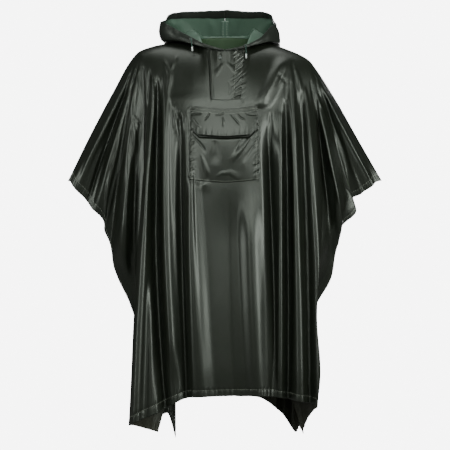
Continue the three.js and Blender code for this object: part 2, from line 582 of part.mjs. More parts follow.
// The flap is stitched on above the pocket's mouth and its lower corners are cut off.
const flapSteps = ladder([0, 1], [flapRows]);
const flap = makeGrid(flapSteps, pocket.columns, (cut, t) => {
  const corner = Math.max(0, (Math.abs(cut) - flapCorner) / (pocketHalf - flapCorner));
  const foot = flapFoot - flapCut * corner;
  const level = flapTop + (foot - flapTop) * t;
  const seat = onGrid(front, cut, level);
  const lift = Math.max(pocketLift(cut, Math.max(level, pocketTop)), onPanel) + onPanel + flapStand * t;
  return seat.point.addScaledVector(seat.normal, lift);
});
add("pocket_flap", wall(flap), outerGreen);

// Turned piece of revolution set on a surface: its axis along the outward direction.
function turned(profile, seat, standOff, sides = 16) {
  const outline = profile.map(([r, h]) => new THREE.Vector2(r, h));
  const geometry = new THREE.LatheGeometry(outline, sides);
  const turn = new THREE.Quaternion().setFromUnitVectors(new THREE.Vector3(0, 1, 0), seat.normal);
  geometry.applyQuaternion(turn);
  const at = seat.point.clone().addScaledVector(seat.normal, standOff);
  geometry.translate(at.x, at.y, at.z);
  return geometry;
}
const snapProfile = [
  [0, 0], [snapRadius, 0], [snapRadius, 0.8], [snapRadius - 1.6, 2],
  [snapRadius - 3, 1.7], [snapRadius - 4, 2.2], [0, 2.2],
];
function addSnap(name, grid, { cut, level, clear }) {
  add(name, turned(snapProfile, onGrid(grid, cut, level), cloth / 2 + clear), snapMetal);
}
addSnap("placket_snap", placket, placketSnap);
sideSnaps.forEach((snap) => addSnap(snap.name, front, snap));

// Drawcord: an eyelet in the channel on each side, a short free end and its moulded tip.
const eyeletProfile = [[2, 0], [5, 0], [5, 0.7], [3.6, 1.4], [2, 1], [2, 0]];
cordEnds.forEach(({ side, place, rise, route }) => {
  const seat = onGrid(hood, place, rise);
  add("eyelet_" + side, turned(eyeletProfile, seat, cloth / 2 + seamGap), snapMetal);
  const exit = seat.point.clone().addScaledVector(seat.normal, cloth / 2 + cordRadius + 0.4);
  const path = new THREE.CatmullRomCurve3(
    route.map(([x, y, z]) => new THREE.Vector3(exit.x + x, exit.y + y, exit.z + z)),
  );
  const ring = new THREE.Shape().absarc(0, 0, cordRadius, 0, 2 * Math.PI);
  const tube = { steps: cordSteps, curveSegments: 4, bevelEnabled: false, extrudePath: path };
  add("cord_" + side, new THREE.ExtrudeGeometry(ring, tube), cordGreen);
  const end = path.getPoint(1);
  const down = path.getTangent(1);
  const tipSeat = { point: end, normal: down };
  const tipProfile = [[0, 0], [2.4, 0], [2.7, 1.5], [2.5, 11], [1.7, tipLength], [0, tipLength]];
  add("cord_tip_" + side, turned(tipProfile, tipSeat, seamGap, 12), tipClear);
});

export default poncho;
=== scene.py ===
# Rain poncho with a kangaroo pocket and a hood folded back, as an unseen wearer fills it. The
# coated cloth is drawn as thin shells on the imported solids' own form, with sharper creases.
# Tables are in millimetres in the part's frame and meshes in metres.
import math

import bmesh
import bpy
import numpy as np
from mathutils import Matrix, Vector


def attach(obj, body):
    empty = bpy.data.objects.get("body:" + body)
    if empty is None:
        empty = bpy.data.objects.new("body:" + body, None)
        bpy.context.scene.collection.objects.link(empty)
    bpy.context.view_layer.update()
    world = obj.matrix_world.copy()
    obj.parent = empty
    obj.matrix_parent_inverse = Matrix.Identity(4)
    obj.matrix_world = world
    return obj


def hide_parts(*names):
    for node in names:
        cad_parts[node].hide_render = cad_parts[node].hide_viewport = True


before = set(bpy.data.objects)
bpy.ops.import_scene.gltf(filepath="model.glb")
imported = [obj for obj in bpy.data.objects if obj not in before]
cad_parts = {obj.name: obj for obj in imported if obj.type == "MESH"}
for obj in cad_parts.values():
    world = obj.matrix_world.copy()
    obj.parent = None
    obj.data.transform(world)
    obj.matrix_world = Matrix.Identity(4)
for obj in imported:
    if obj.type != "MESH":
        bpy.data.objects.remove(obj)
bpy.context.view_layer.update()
scene = bpy.context.scene

# Camera: level, 6 m in front of the poncho, as far up as its middle.
cameraSpot = {"away": 6.0, "height": -0.531, "frameWidth": 1.3635}
cameraData = bpy.data.cameras.new("camera")
cameraData.sensor_width = 36.0
cameraData.lens = 36.0 * cameraSpot["away"] / cameraSpot["frameWidth"]
cameraData.clip_end = 100.0
camera = bpy.data.objects.new("camera", cameraData)
camera.location = (0.0, -cameraSpot["away"], cameraSpot["height"])
camera.rotation_euler = (math.pi / 2, 0.0, 0.0)
scene.collection.objects.link(camera)
scene.camera = camera
print("camera in place")


# Curves and meshes.
def smoothStep(low, high, value):
    t = np.clip((np.asarray(value, float) - low) / (high - low), 0.0, 1.0)
    return t * t * (3.0 - 2.0 * t)


# Smooth curve through values at uneven knots, which never overshoots them.
def through(knots, values, at):
    knots = np.asarray(knots, float)
    values = np.asarray(values, float)
    at = np.asarray(at, float)
    shape = (-1,) + (1,) * (values.ndim - 1)
    spans = np.diff(knots).reshape(shape)
    slopes = np.diff(values, axis=0) / spans
    tangents = np.zeros_like(values)
    tangents[0], tangents[-1] = slopes[0], slopes[-1]
    before, after = slopes[:-1], slopes[1:]
    together = before * after > 0
    total = np.where(together, before + after, 1.0)
    tangents[1:-1] = np.where(together, 2.0 * before * after / total, 0.0)
    i = np.clip(np.searchsorted(knots, at, side="left") - 1, 0, len(knots) - 2)
    span = spans[i]
    t = ((at - knots[i]) / (knots[i + 1] - knots[i])).reshape(shape)
    t2, t3 = t * t, t * t * t
    return (
        (2 * t3 - 3 * t2 + 1) * values[i]
        + (t3 - 2 * t2 + t) * span * tangents[i]
        + (3 * t2 - 2 * t3) * values[i + 1]
        + (t3 - t2) * span * tangents[i + 1]
    )


# Uneven wave between -1 and 1 without a visible repeat.
def ripple(value, seed=0.0):
    return (
        0.5 * np.sin(value + seed)
        + 0.3 * np.sin(value * 1.73 + 2.1 * seed + 1.3)
        + 0.2 * np.sin(value * 2.91 + 3.7 * seed + 4.2)
    )


def gridNormals(points):
    fall = np.gradient(points, axis=0)
    run = np.gradient(points, axis=1)
    normals = np.cross(fall, run)
    length = np.linalg.norm(normals, axis=2, keepdims=True)
    return normals / np.maximum(length, 1e-9)


# Places through named stops, in counts of even steps.
def ladder(stops, counts):
    places = [stops[0]]
    for low, high, count in zip(stops, stops[1:], counts):
        places += list(np.linspace(low, high, count + 1)[1:])
    return np.array(places)


# The point of a grid at any columns and rows, between its own ones.
def readGrid(table, columns, rows, atColumn, atRow):
    atColumn = np.asarray(atColumn, float)
    atRow = np.asarray(atRow, float)
    ups = columns if columns[-1] > columns[0] else -columns
    sought = atColumn if columns[-1] > columns[0] else -atColumn
    j = np.clip(np.searchsorted(ups, sought) - 1, 0, len(columns) - 2)
    i = np.clip(np.searchsorted(rows, atRow) - 1, 0, len(rows) - 2)
    u = ((sought - ups[j]) / (ups[j + 1] - ups[j]))[..., None]
    v = ((atRow - rows[i]) / (rows[i + 1] - rows[i]))[..., None]
    top = table[i, j] * (1 - u) + table[i, j + 1] * u
    low = table[i + 1, j] * (1 - u) + table[i + 1, j + 1] * u
    return top * (1 - v) + low * v


def finishMesh(name, bm, materials):
    mesh = bpy.data.meshes.new(name)
    bm.to_mesh(mesh)
    bm.free()
    for material in materials:
        mesh.materials.append(material)
    mesh.polygons.foreach_set("use_smooth", [True] * len(mesh.polygons))
    piece = bpy.data.objects.new(name, mesh)
    scene.collection.objects.link(piece)
    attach(piece, "root")
    return piece


# Sheet of cloth: a grid of points in millimetres, made solid about its middle. The outside is
# where rows run down and columns to the right of someone who looks at it.
def makeSheet(name, points, flatU, flatV, materials, wall):
    rows, columns = points.shape[:2]
    bm = bmesh.new()
    bmesh.ops.create_grid(bm, x_segments=columns - 1, y_segments=rows - 1, size=1.0)
    uvLayer = bm.loops.layers.uv.new("flat")
    spots = np.array([v.co[:2] for v in bm.verts])
    j = np.rint((spots[:, 0] + 1) / 2 * (columns - 1)).astype(int)
    i = (rows - 1) - np.rint((spots[:, 1] + 1) / 2 * (rows - 1)).astype(int)
    places = points[i, j] / 1000.0
    for vertex, place in zip(bm.verts, places):
        vertex.co = place
    u = np.broadcast_to(flatU, (rows, columns))[i, j] / 1000.0
    v = np.broadcast_to(flatV, (rows, columns))[i, j] / 1000.0
    for face in bm.faces:
        for loop in face.loops:
            loop[uvLayer].uv = (u[loop.vert.index], v[loop.vert.index])
    piece = finishMesh(name, bm, materials)
    solid = piece.modifiers.new("wall", "SOLIDIFY")
    solid.thickness = wall / 1000.0
    solid.offset = 0.0
    solid.use_even_offset = False
    solid.material_offset = len(materials) - 1
    return piece


# Closed round body: rings of a sphere moved to (centre, radius) along a path.
def makeRound(name, centres, radii, material, sides=12):
    centres = [Vector(c) for c in centres]
    rings = len(centres) - 2
    bm = bmesh.new()
    bmesh.ops.create_uvsphere(bm, u_segments=sides, v_segments=rings + 1, radius=1.0)
    first = (centres[-1] - centres[0]).normalized()
    across = first.orthogonal().normalized()
    frames = []
    for k in range(rings + 2):
        along = (centres[min(k + 1, rings + 1)] - centres[max(k - 1, 0)]).normalized()
        if along.length < 0.5:
            along = first
        across = (across - along * across.dot(along)).normalized()
        frames.append((across.copy(), along.cross(across)))
    for vertex in bm.verts:
        k = round(math.acos(max(-1.0, min(1.0, vertex.co.z))) * (rings + 1) / math.pi)
        angle = math.atan2(vertex.co.y, vertex.co.x)
        one, two = frames[k]
        spoke = one * math.cos(angle) - two * math.sin(angle)
        radius = 0.0 if k in (0, rings + 1) else radii[k]
        vertex.co = (centres[k] + spoke * radius) / 1000.0
    return finishMesh(name, bm, [material])


# Turned piece on a seat: profile rows are (radius, height) from its foot to its top.
def makeTurned(name, profile, seat, axis, material, sides=28):
    seat, axis = Vector(seat), Vector(axis).normalized()
    centres = [seat + axis * height for _, height in profile]
    bm = bmesh.new()
    rings = len(profile) - 2
    bmesh.ops.create_uvsphere(bm, u_segments=sides, v_segments=rings + 1, radius=1.0)
    one = axis.orthogonal().normalized()
    two = axis.cross(one)
    for vertex in bm.verts:
        k = round(math.acos(max(-1.0, min(1.0, vertex.co.z))) * (rings + 1) / math.pi)
        angle = math.atan2(vertex.co.y, vertex.co.x)
        spoke = one * math.cos(angle) - two * math.sin(angle)
        vertex.co = (centres[k] + spoke * profile[k][0]) / 1000.0
    return finishMesh(name, bm, [material])


# Row of stitches: short capsules along paths that lie on the cloth.
def makeStitches(name, paths, material, pitch=3.6, length=2.3, radius=0.32):
    template = bmesh.new()
    bmesh.ops.create_uvsphere(template, u_segments=6, v_segments=4, radius=1.0)
    shape = np.array([v.co[:] for v in template.verts])
    faces = [[v.index for v in face.verts] for face in template.faces]
    template.free()
    corners, allFaces = [], []
    for points, normals in paths:
        steps = np.linalg.norm(np.diff(points, axis=0), axis=1)
        reach = np.concatenate([[0.0], np.cumsum(steps)])
        count = int(reach[-1] // pitch)
        for k in range(count):
            centre = (k + 0.5) * reach[-1] / count
            ends = [np.array([np.interp(s, reach, points[:, a]) for a in range(3)])
                    for s in (centre - length / 2, centre + length / 2)]
            normal = np.array([np.interp(centre, reach, normals[:, a]) for a in range(3)])
            along = ends[1] - ends[0]
            size = np.linalg.norm(along)
            along = along / max(size, 1e-6)
            side = np.cross(along, normal)
            side = side / max(np.linalg.norm(side), 1e-6)
            up = np.cross(side, along)
            middle = (ends[0] + ends[1]) / 2
            placed = middle + shape[:, 2:3] * along * size / 2 + shape[:, :1] * side * radius
            placed = placed + shape[:, 1:2] * up * radius
            base = sum(len(c) for c in corners)
            corners.append(placed / 1000.0)
            allFaces += [[base + n for n in face] for face in faces]
    mesh = bpy.data.meshes.new(name)
    mesh.from_pydata(np.concatenate(corners).tolist(), [], allFaces)
    mesh.materials.append(material)
    mesh.polygons.foreach_set("use_smooth", [True] * len(mesh.polygons))
    piece = bpy.data.objects.new(name, mesh)
    scene.collection.objects.link(piece)
    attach(piece, "root")
    return piece


# Materials.
def linear(code):
    values = [int(code[k:k + 2], 16) / 255.0 for k in (1, 3, 5)]
    return [v / 12.92 if v <= 0.04045 else ((v + 0.055) / 1.055) ** 2.4 for v in values] + [1.0]


def addNode(tree, kind, inputs=None, **settings):
    node = tree.nodes.new(kind)
    for key, value in settings.items():
        setattr(node, key, value)
    for key, value in (inputs or {}).items():
        if isinstance(value, bpy.types.NodeSocket):
            tree.links.new(value, node.inputs[key])
        else:
            node.inputs[key].default_value = value
    return node


def startMaterial(name):
    material = bpy.data.materials.new(name)
    material.use_nodes = True
    tree = material.node_tree
    tree.nodes.clear()
    output = addNode(tree, "ShaderNodeOutputMaterial")
    return material, tree, output


# Woven cloth with a coating: two shades that drift, fine crinkles along the flat cloth, and a
# weave of about 0.4 mm. Scales are per metre of flat cloth.
def coatedCloth(name, shade, deeper, roughness, gloss, crinkle, streak=0.0, neckGreen=None):
    material, tree, output = startMaterial(name)
    flat = addNode(tree, "ShaderNodeUVMap", uv_map="flat").outputs["UV"]
    drift = addNode(tree, "ShaderNodeTexNoise", {"Vector": flat, "Scale": 5.0, "Detail": 2.0})
    shades = addNode(tree, "ShaderNodeMix", {
        "Factor": drift.outputs["Fac"], "A": linear(shade), "B": linear(deeper)}, data_type="RGBA")
    # Painted shade: when a neck colour is given, the cloth keeps it near the neckline and turns to the darker base
    # colours 0.12 to 0.3 m further down the flat cloth.
    if neckGreen:
        down = addNode(tree, "ShaderNodeSeparateXYZ", {"Vector": flat}).outputs["Y"]
        paintedShadeByNeck = addNode(tree, "ShaderNodeMapRange", {"Value": down, "From Min": -0.3, "From Max": -0.12})
        shades = addNode(tree, "ShaderNodeMix", {
            "Factor": paintedShadeByNeck.outputs["Result"], "A": shades.outputs["Result"], "B": linear(neckGreen)},
            data_type="RGBA")
    stretched = addNode(tree, "ShaderNodeMapping", {"Vector": flat, "Scale": (1.0, 0.42, 1.0)})
    wrinkles = addNode(tree, "ShaderNodeTexNoise", {
        "Vector": stretched.outputs["Vector"], "Scale": 46.0, "Detail": 3.0, "Roughness": 0.5})
    runs = addNode(tree, "ShaderNodeMapping", {"Vector": flat, "Scale": (1.0, 0.07, 1.0)})
    streaks = addNode(tree, "ShaderNodeTexNoise", {
        "Vector": runs.outputs["Vector"], "Scale": 13.0, "Detail": 1.0, "Roughness": 0.4})
    hung = addNode(tree, "ShaderNodeBump", {
        "Height": streaks.outputs["Fac"], "Distance": streak / 1000.0, "Strength": 1.0})
    folded = addNode(tree, "ShaderNodeBump", {
        "Height": wrinkles.outputs["Fac"], "Distance": crinkle / 1000.0, "Strength": 1.0,
        "Normal": hung.outputs["Normal"]})
    weave = addNode(tree, "ShaderNodeTexWave", {
        "Vector": flat, "Scale": 400.0, "Distortion": 1.0}, bands_direction="DIAGONAL")
    woven = addNode(tree, "ShaderNodeBump", {
        "Height": weave.outputs["Fac"], "Distance": 0.00003, "Strength": 0.6,
        "Normal": folded.outputs["Normal"]})
    rough = addNode(tree, "ShaderNodeMapRange", {
        "Value": wrinkles.outputs["Fac"], "To Min": roughness - 0.03, "To Max": roughness + 0.04})
    surface = addNode(tree, "ShaderNodeBsdfPrincipled", {
        "Base Color": shades.outputs["Result"], "Roughness": rough.outputs["Result"],
        "Specular IOR Level": gloss, "Specular Tint": (0.9, 1.0, 0.88, 1.0), "Normal": woven.outputs["Normal"]})
    tree.links.new(surface.outputs["BSDF"], output.inputs["Surface"])
    return material


def plainMaterial(name, shade, roughness, metallic=0.0, grain=0.0, grainScale=900.0, through=0.0):
    material, tree, output = startMaterial(name)
    place = addNode(tree, "ShaderNodeTexCoord").outputs["Object"]
    noise = addNode(tree, "ShaderNodeTexNoise", {"Vector": place, "Scale": grainScale, "Detail": 2.0})
    bump = addNode(tree, "ShaderNodeBump", {
        "Height": noise.outputs["Fac"], "Distance": grain / 1000.0, "Strength": 1.0})
    surface = addNode(tree, "ShaderNodeBsdfPrincipled", {
        "Base Color": linear(shade), "Roughness": roughness, "Metallic": metallic,
        "Transmission Weight": through, "Normal": bump.outputs["Normal"]})
    tree.links.new(surface.outputs["BSDF"], output.inputs["Surface"])
    return material


# Nylon with a glossy outer finish, dark olive grey.
outerCloth = coatedCloth("coated nylon outside", "#10130e", "#151912", 0.32, 0.5, 0.3, 1.0)
# The waterproof coating on the nylon's back, green at the neck and painted darker and browner further down as painted
# shade.
innerCloth = coatedCloth("waterproof coating inside", "#33342a", "#2b2c23", 0.5, 0.35, 0.4,
                         neckGreen="#3c533a")
# The same coating inside the hood, paler where the light reaches it.
hoodInner = coatedCloth("waterproof coating in the hood", "#475e50", "#3d5445", 0.47, 0.34, 0.5)
# The hood's own nylon, a little less glossy.
hoodCloth = coatedCloth("coated nylon of the hood", "#181c18", "#1f231e", 0.36, 0.34, 0.7)
# Seam tape pressed over the hood's centre seam.
tapeCloth = coatedCloth("seam tape", "#4c6456", "#445b4c", 0.45, 0.4, 0.3)
# Polyester sewing thread in olive, its colour made paler still as a painted highlight on the stitches.
threadOliveAndSheen = plainMaterial("sewing thread olive with painted sheen", "#868d80", 0.7)
# Polyester sewing thread in pale green, on the hood's centre seam.
threadPale = plainMaterial("sewing thread pale", "#a9b8ab", 0.7)
# Braided polyester cord, dark green.
cordBraid = plainMaterial("braided cord", "#1d3a30", 0.75, grain=0.3, grainScale=1400.0)
# Moulded cord tips, cloudy clear plastic.
tipPlastic = plainMaterial("cord tip plastic", "#a4aca5", 0.35)
# Plated brass snaps and eyelets, dulled.
snapMetal = plainMaterial("plated brass", "#4b514c", 0.45, metallic=0.9, grain=0.02)
print("materials made")

# Drape: the same guide threads as the solids, from the viewer's left side edge to the right one.
# "cut" is the thread's place across the flat cloth, and each place is [across, depth, height].
levels = [0, 0.16, 0.42, 0.72, 0.9, 1]
placeNames = ["top", "chest", "waist", "thigh", "calf", "hem"]
frontThreads = [
    {"cut": -1.0, "over": 1, "top": [-476, 0, -398], "chest": [-420, -22, -456],
     "waist": [-345, -10, -594], "thigh": [-279, 10, -798], "calf": [-172, 30, -1020],
     "hem": [-204, 20, -1161]},
    {"cut": -0.82, "over": 1, "top": [-407, 0, -257], "chest": [-366, -45, -324],
     "waist": [-333, -38, -561], "thigh": [-264, 12, -800], "calf": [-195, 30, -1015],
     "hem": [-216, 10, -1156]},
    {"cut": -0.64, "over": 1, "top": [-338, 0, -127], "chest": [-292, -58, -246],
     "waist": [-294, -74, -508], "thigh": [-250, -15, -802], "calf": [-238, -5, -1012],
     "hem": [-243, -20, -1145]},
    {"cut": -0.46, "over": 1, "top": [-285, 0, -33], "chest": [-243, -72, -206],
     "waist": [-241, -88, -482], "thigh": [-262, -97, -804], "calf": [-272, -97, -1011],
     "hem": [-277, -95, -1128]},
    {"cut": -0.4, "over": 1, "top": [-257, 0, -4], "chest": [-231, -88, -192],
     "waist": [-249, -128, -471], "thigh": [-270, -138, -804], "calf": [-279, -138, -1011],
     "hem": [-285, -134, -1124]},
    {"cut": -0.27, "over": 1, "top": [-184, 0, 17], "chest": [-184, -108, -171],
     "waist": [-184, -140, -441], "thigh": [-190, -148, -756], "calf": [-195, -148, -950],
     "hem": [-195, -145, -1086]},
    {"cut": -0.14, "over": 0.8, "top": [-92, 0, 30], "chest": [-100, -130, -150],
     "waist": [-106, -156, -432], "thigh": [-106, -160, -742], "calf": [-106, -153, -940],
     "hem": [-105, -144, -1042]},
    {"cut": -0.07, "over": 0.2, "top": [-58, -85, -4], "chest": [-50, -138, -158],
     "waist": [-54, -160, -437], "thigh": [-56, -165, -745], "calf": [-56, -158, -940],
     "hem": [-55, -147, -1039]},
    {"cut": 0, "over": 0, "top": [0, -107, -14], "chest": [0, -140, -162],
     "waist": [0, -160, -440], "thigh": [0, -165, -745], "calf": [0, -158, -940],
     "hem": [0, -147, -1038]},
    {"cut": 0.07, "over": 0.2, "top": [58, -85, -4], "chest": [48, -138, -158],
     "waist": [51, -160, -437], "thigh": [58, -165, -745], "calf": [60, -158, -940],
     "hem": [58, -147, -1037]},
    {"cut": 0.14, "over": 0.8, "top": [92, 0, 28], "chest": [96, -130, -150],
     "waist": [101, -156, -432], "thigh": [108, -160, -742], "calf": [115, -153, -930],
     "hem": [112, -144, -1038]},
    {"cut": 0.27, "over": 1, "top": [187, 0, 1], "chest": [178, -108, -171],
     "waist": [186, -140, -441], "thigh": [186, -144, -756], "calf": [188, -142, -950],
     "hem": [178, -134, -1046]},
    {"cut": 0.4, "over": 1, "top": [252, 0, -31], "chest": [268, -78, -195],
     "waist": [288, -126, -471], "thigh": [272, -137, -800], "calf": [282, -136, -966],
     "hem": [273, -130, -1070]},
    {"cut": 0.46, "over": 1, "top": [274, 0, -57], "chest": [282, -62, -208],
     "waist": [287, -86, -488], "thigh": [264, -97, -804], "calf": [276, -97, -980],
     "hem": [266, -95, -1082]},
    {"cut": 0.64, "over": 1, "top": [334, 0, -150], "chest": [309, -58, -258],
     "waist": [331, -74, -480], "thigh": [252, -15, -798], "calf": [240, -5, -985],
     "hem": [248, -20, -1118]},
    {"cut": 0.82, "over": 1, "top": [406, 0, -277], "chest": [369, -45, -345],
     "waist": [352, -38, -531], "thigh": [262, 12, -780], "calf": [215, 30, -985],
     "hem": [240, 10, -1145]},
    {"cut": 1.0, "over": 1, "top": [475, 0, -397], "chest": [408, -20, -441],
     "waist": [341, -10, -594], "thigh": [273, 10, -774], "calf": [188, 30, -985],
     "hem": [235, 20, -1158]},
]
backThreads = [
    {"cut": 0, "over": 0, "top": [0, 90, 44], "chest": [0, 126, -130], "waist": [0, 148, -430],
     "thigh": [0, 156, -742], "calf": [0, 158, -940], "hem": [0, 158, -1062]},
    {"cut": 0.07, "over": 0.2, "top": [60, 68, 40], "chest": [56, 124, -128],
     "waist": [57, 147, -430], "thigh": [58, 155, -742], "calf": [58, 157, -940],
     "hem": [57, 157, -1063]},
    {"cut": 0.14, "over": 0.8, "top": [92, 0, 30], "chest": [102, 116, -125],
     "waist": [108, 142, -430], "thigh": [108, 150, -742], "calf": [107, 152, -940],
     "hem": [106, 150, -1068]},
    {"cut": 0.27, "over": 1, "top": [180, 0, 6], "chest": [186, 96, -160],
     "waist": [188, 126, -438], "thigh": [186, 136, -752], "calf": [182, 138, -950],
     "hem": [176, 136, -1086]},
    {"cut": 0.4, "over": 1, "top": [249, 0, -14], "chest": [240, 78, -188],
     "waist": [246, 112, -468], "thigh": [250, 122, -790], "calf": [250, 124, -985],
     "hem": [246, 120, -1108]},
    {"cut": 0.46, "over": 1, "top": [268, 0, -38], "chest": [252, 66, -203],
     "waist": [243, 82, -482], "thigh": [243, 88, -795], "calf": [240, 92, -990],
     "hem": [232, 92, -1120]},
    {"cut": 0.64, "over": 1, "top": [327, 0, -126], "chest": [296, 56, -246],
     "waist": [292, 70, -504], "thigh": [244, 52, -798], "calf": [216, 58, -1000],
     "hem": [200, 66, -1116]},
    {"cut": 0.82, "over": 1, "top": [399, 0, -258], "chest": [366, 44, -324],
     "waist": [328, 40, -558], "thigh": [250, 32, -800], "calf": [178, 48, -1005],
     "hem": [177, 56, -1106]},
    {"cut": 1.0, "over": 1, "top": [471, 0, -402], "chest": [414, 22, -458],
     "waist": [338, 14, -594], "thigh": [262, 22, -798], "calf": [150, 42, -1020],
     "hem": [150, 46, -1181]},
]
# The back's right side hangs lower at its foot.
backRightFoot = {
    0.27: {"calf": [178, 138, -955], "hem": [174, 136, -1112]},
    0.4: {"calf": [246, 124, -985], "hem": [219, 118, -1172]},
    0.46: {"calf": [240, 92, -992], "hem": [228, 92, -1150]},
    0.64: {"calf": [232, 62, -1000], "hem": [240, 68, -1170]},
    0.82: {"chest": [369, 44, -338], "calf": [226, 50, -1010], "hem": [234, 56, -1156]},
    1.0: {"chest": [404, 20, -436], "calf": [206, 42, -1020], "hem": [230, 46, -1150]},
}
# The solids' own large folds: the line through three places on the front view, half of the
# fold's width and its height.
frontFolds = [
    {"on": "sleeve", "top": [-283, -52], "mid": [-372, -232], "low": [-480, -470], "wide": 34, "tall": 15},
    {"on": "sleeve", "top": [-275, -72], "mid": [-347, -262], "low": [-440, -545], "wide": 32, "tall": -15},
    {"on": "sleeve", "top": [-268, -60], "mid": [-322, -290], "low": [-408, -620], "wide": 34, "tall": 17},
    {"on": "sleeve", "top": [-262, -90], "mid": [-304, -330], "low": [-360, -690], "wide": 30, "tall": -18},
    {"on": "sleeve", "top": [-256, -60], "mid": [-288, -330], "low": [-318, -790], "wide": 30, "tall": 18},
    {"on": "sleeve", "top": [-266, -240], "mid": [-272, -480], "low": [-268, -860], "wide": 26, "tall": -14},
    {"on": "body", "top": [-212, -50], "mid": [-236, -470], "low": [-272, -1300], "wide": 28, "tall": 18},
    {"on": "body", "top": [-195, -60], "mid": [-206, -501], "low": [-150, -1300], "wide": 30, "tall": -32},
    {"on": "body", "top": [-180, -80], "mid": [-177, -456], "low": [-148, -1000], "wide": 24, "tall": 15},
    {"on": "body", "top": [-133, -190], "mid": [-128, -516], "low": [-106, -1250], "wide": 24, "tall": -18},
    {"on": "body", "top": [-118, -240], "mid": [-94, -620], "low": [-48, -1300], "wide": 42, "tall": 12},
    {"on": "body", "top": [15, -400], "mid": [18, -756], "low": [44, -1350], "wide": 92, "tall": -10},
    {"on": "body", "top": [72, -400], "mid": [84, -756], "low": [128, -1350], "wide": 40, "tall": 14},
    {"on": "body", "top": [122, -170], "mid": [141, -576], "low": [157, -1250], "wide": 28, "tall": -24},
    {"on": "body", "top": [164, -165], "mid": [165, -546], "low": [150, -1250], "wide": 18, "tall": 15},
    {"on": "body", "top": [183, -150], "mid": [188, -546], "low": [184, -1250], "wide": 22, "tall": -26},
    {"on": "body", "top": [199, -45], "mid": [211, -426], "low": [226, -1250], "wide": 26, "tall": 18},
    {"on": "body", "top": [224, -70], "mid": [238, -420], "low": [252, -1200], "wide": 20, "tall": -18},
    {"on": "body", "top": [246, -100], "mid": [267, -456], "low": [286, -1250], "wide": 24, "tall": 14},
    {"on": "sleeve", "top": [258, -70], "mid": [292, -320], "low": [326, -700], "wide": 26, "tall": -18},
    {"on": "sleeve", "top": [262, -60], "mid": [310, -300], "low": [372, -620], "wide": 30, "tall": 22},
    {"on": "sleeve", "top": [270, -90], "mid": [338, -300], "low": [412, -560], "wide": 30, "tall": -17},
    {"on": "sleeve", "top": [272, -62], "mid": [366, -250], "low": [470, -470], "wide": 34, "tall": 15},
    {"on": "body", "top": [178, -20], "mid": [146, -104], "low": [100, -192], "wide": 34, "tall": 8},
]
backFolds = [
    {"on": "sleeve", "top": [-285, -60], "mid": [-362, -232], "low": [-468, -500], "wide": 28, "tall": 14},
    {"on": "sleeve", "top": [-272, -70], "mid": [-322, -240], "low": [-410, -560], "wide": 26, "tall": -15},
    {"on": "sleeve", "top": [-260, -50], "mid": [-298, -286], "low": [-340, -700], "wide": 28, "tall": 18},
    {"on": "sleeve", "top": [285, -70], "mid": [360, -246], "low": [470, -500], "wide": 28, "tall": 15},
    {"on": "sleeve", "top": [272, -80], "mid": [326, -262], "low": [412, -570], "wide": 26, "tall": -14},
    {"on": "sleeve", "top": [262, -55], "mid": [300, -300], "low": [344, -700], "wide": 28, "tall": 18},
    {"on": "body", "top": [-214, -60], "mid": [-226, -480], "low": [-240, -1300], "wide": 30, "tall": 20},
    {"on": "body", "top": [-180, -90], "mid": [-178, -520], "low": [-170, -1300], "wide": 30, "tall": -26},
    {"on": "body", "top": [-140, -170], "mid": [-128, -560], "low": [-112, -1300], "wide": 30, "tall": 20},
    {"on": "body", "top": [-92, -240], "mid": [-76, -600], "low": [-64, -1300], "wide": 30, "tall": -16},
    {"on": "body", "top": [-30, -260], "mid": [-22, -640], "low": [-14, -1300], "wide": 40, "tall": 16},
    {"on": "body", "top": [36, -260], "mid": [42, -620], "low": [48, -1300], "wide": 34, "tall": -18},
    {"on": "body", "top": [96, -220], "mid": [98, -580], "low": [102, -1300], "wide": 32, "tall": 19},
    {"on": "body", "top": [146, -150], "mid": [152, -540], "low": [154, -1300], "wide": 28, "tall": -24},
    {"on": "body", "top": [190, -80], "mid": [202, -500], "low": [210, -1300], "wide": 28, "tall": 20},
]
sideLobes = [
    {"side": -1, "at": 0.08, "wide": 0.07, "reach": 9},
    {"side": -1, "at": 0.28, "wide": 0.07, "reach": -14},
    {"side": -1, "at": 0.54, "wide": 0.15, "reach": 14},
    {"side": 1, "at": 0.09, "wide": 0.045, "reach": 7},
    {"side": 1, "at": 0.19, "wide": 0.04, "reach": -20},
    {"side": 1, "at": 0.262, "wide": 0.05, "reach": 17},
    {"side": 1, "at": 0.35, "wide": 0.06, "reach": -14},
    {"side": 1, "at": 0.6, "wide": 0.15, "reach": 18},
]
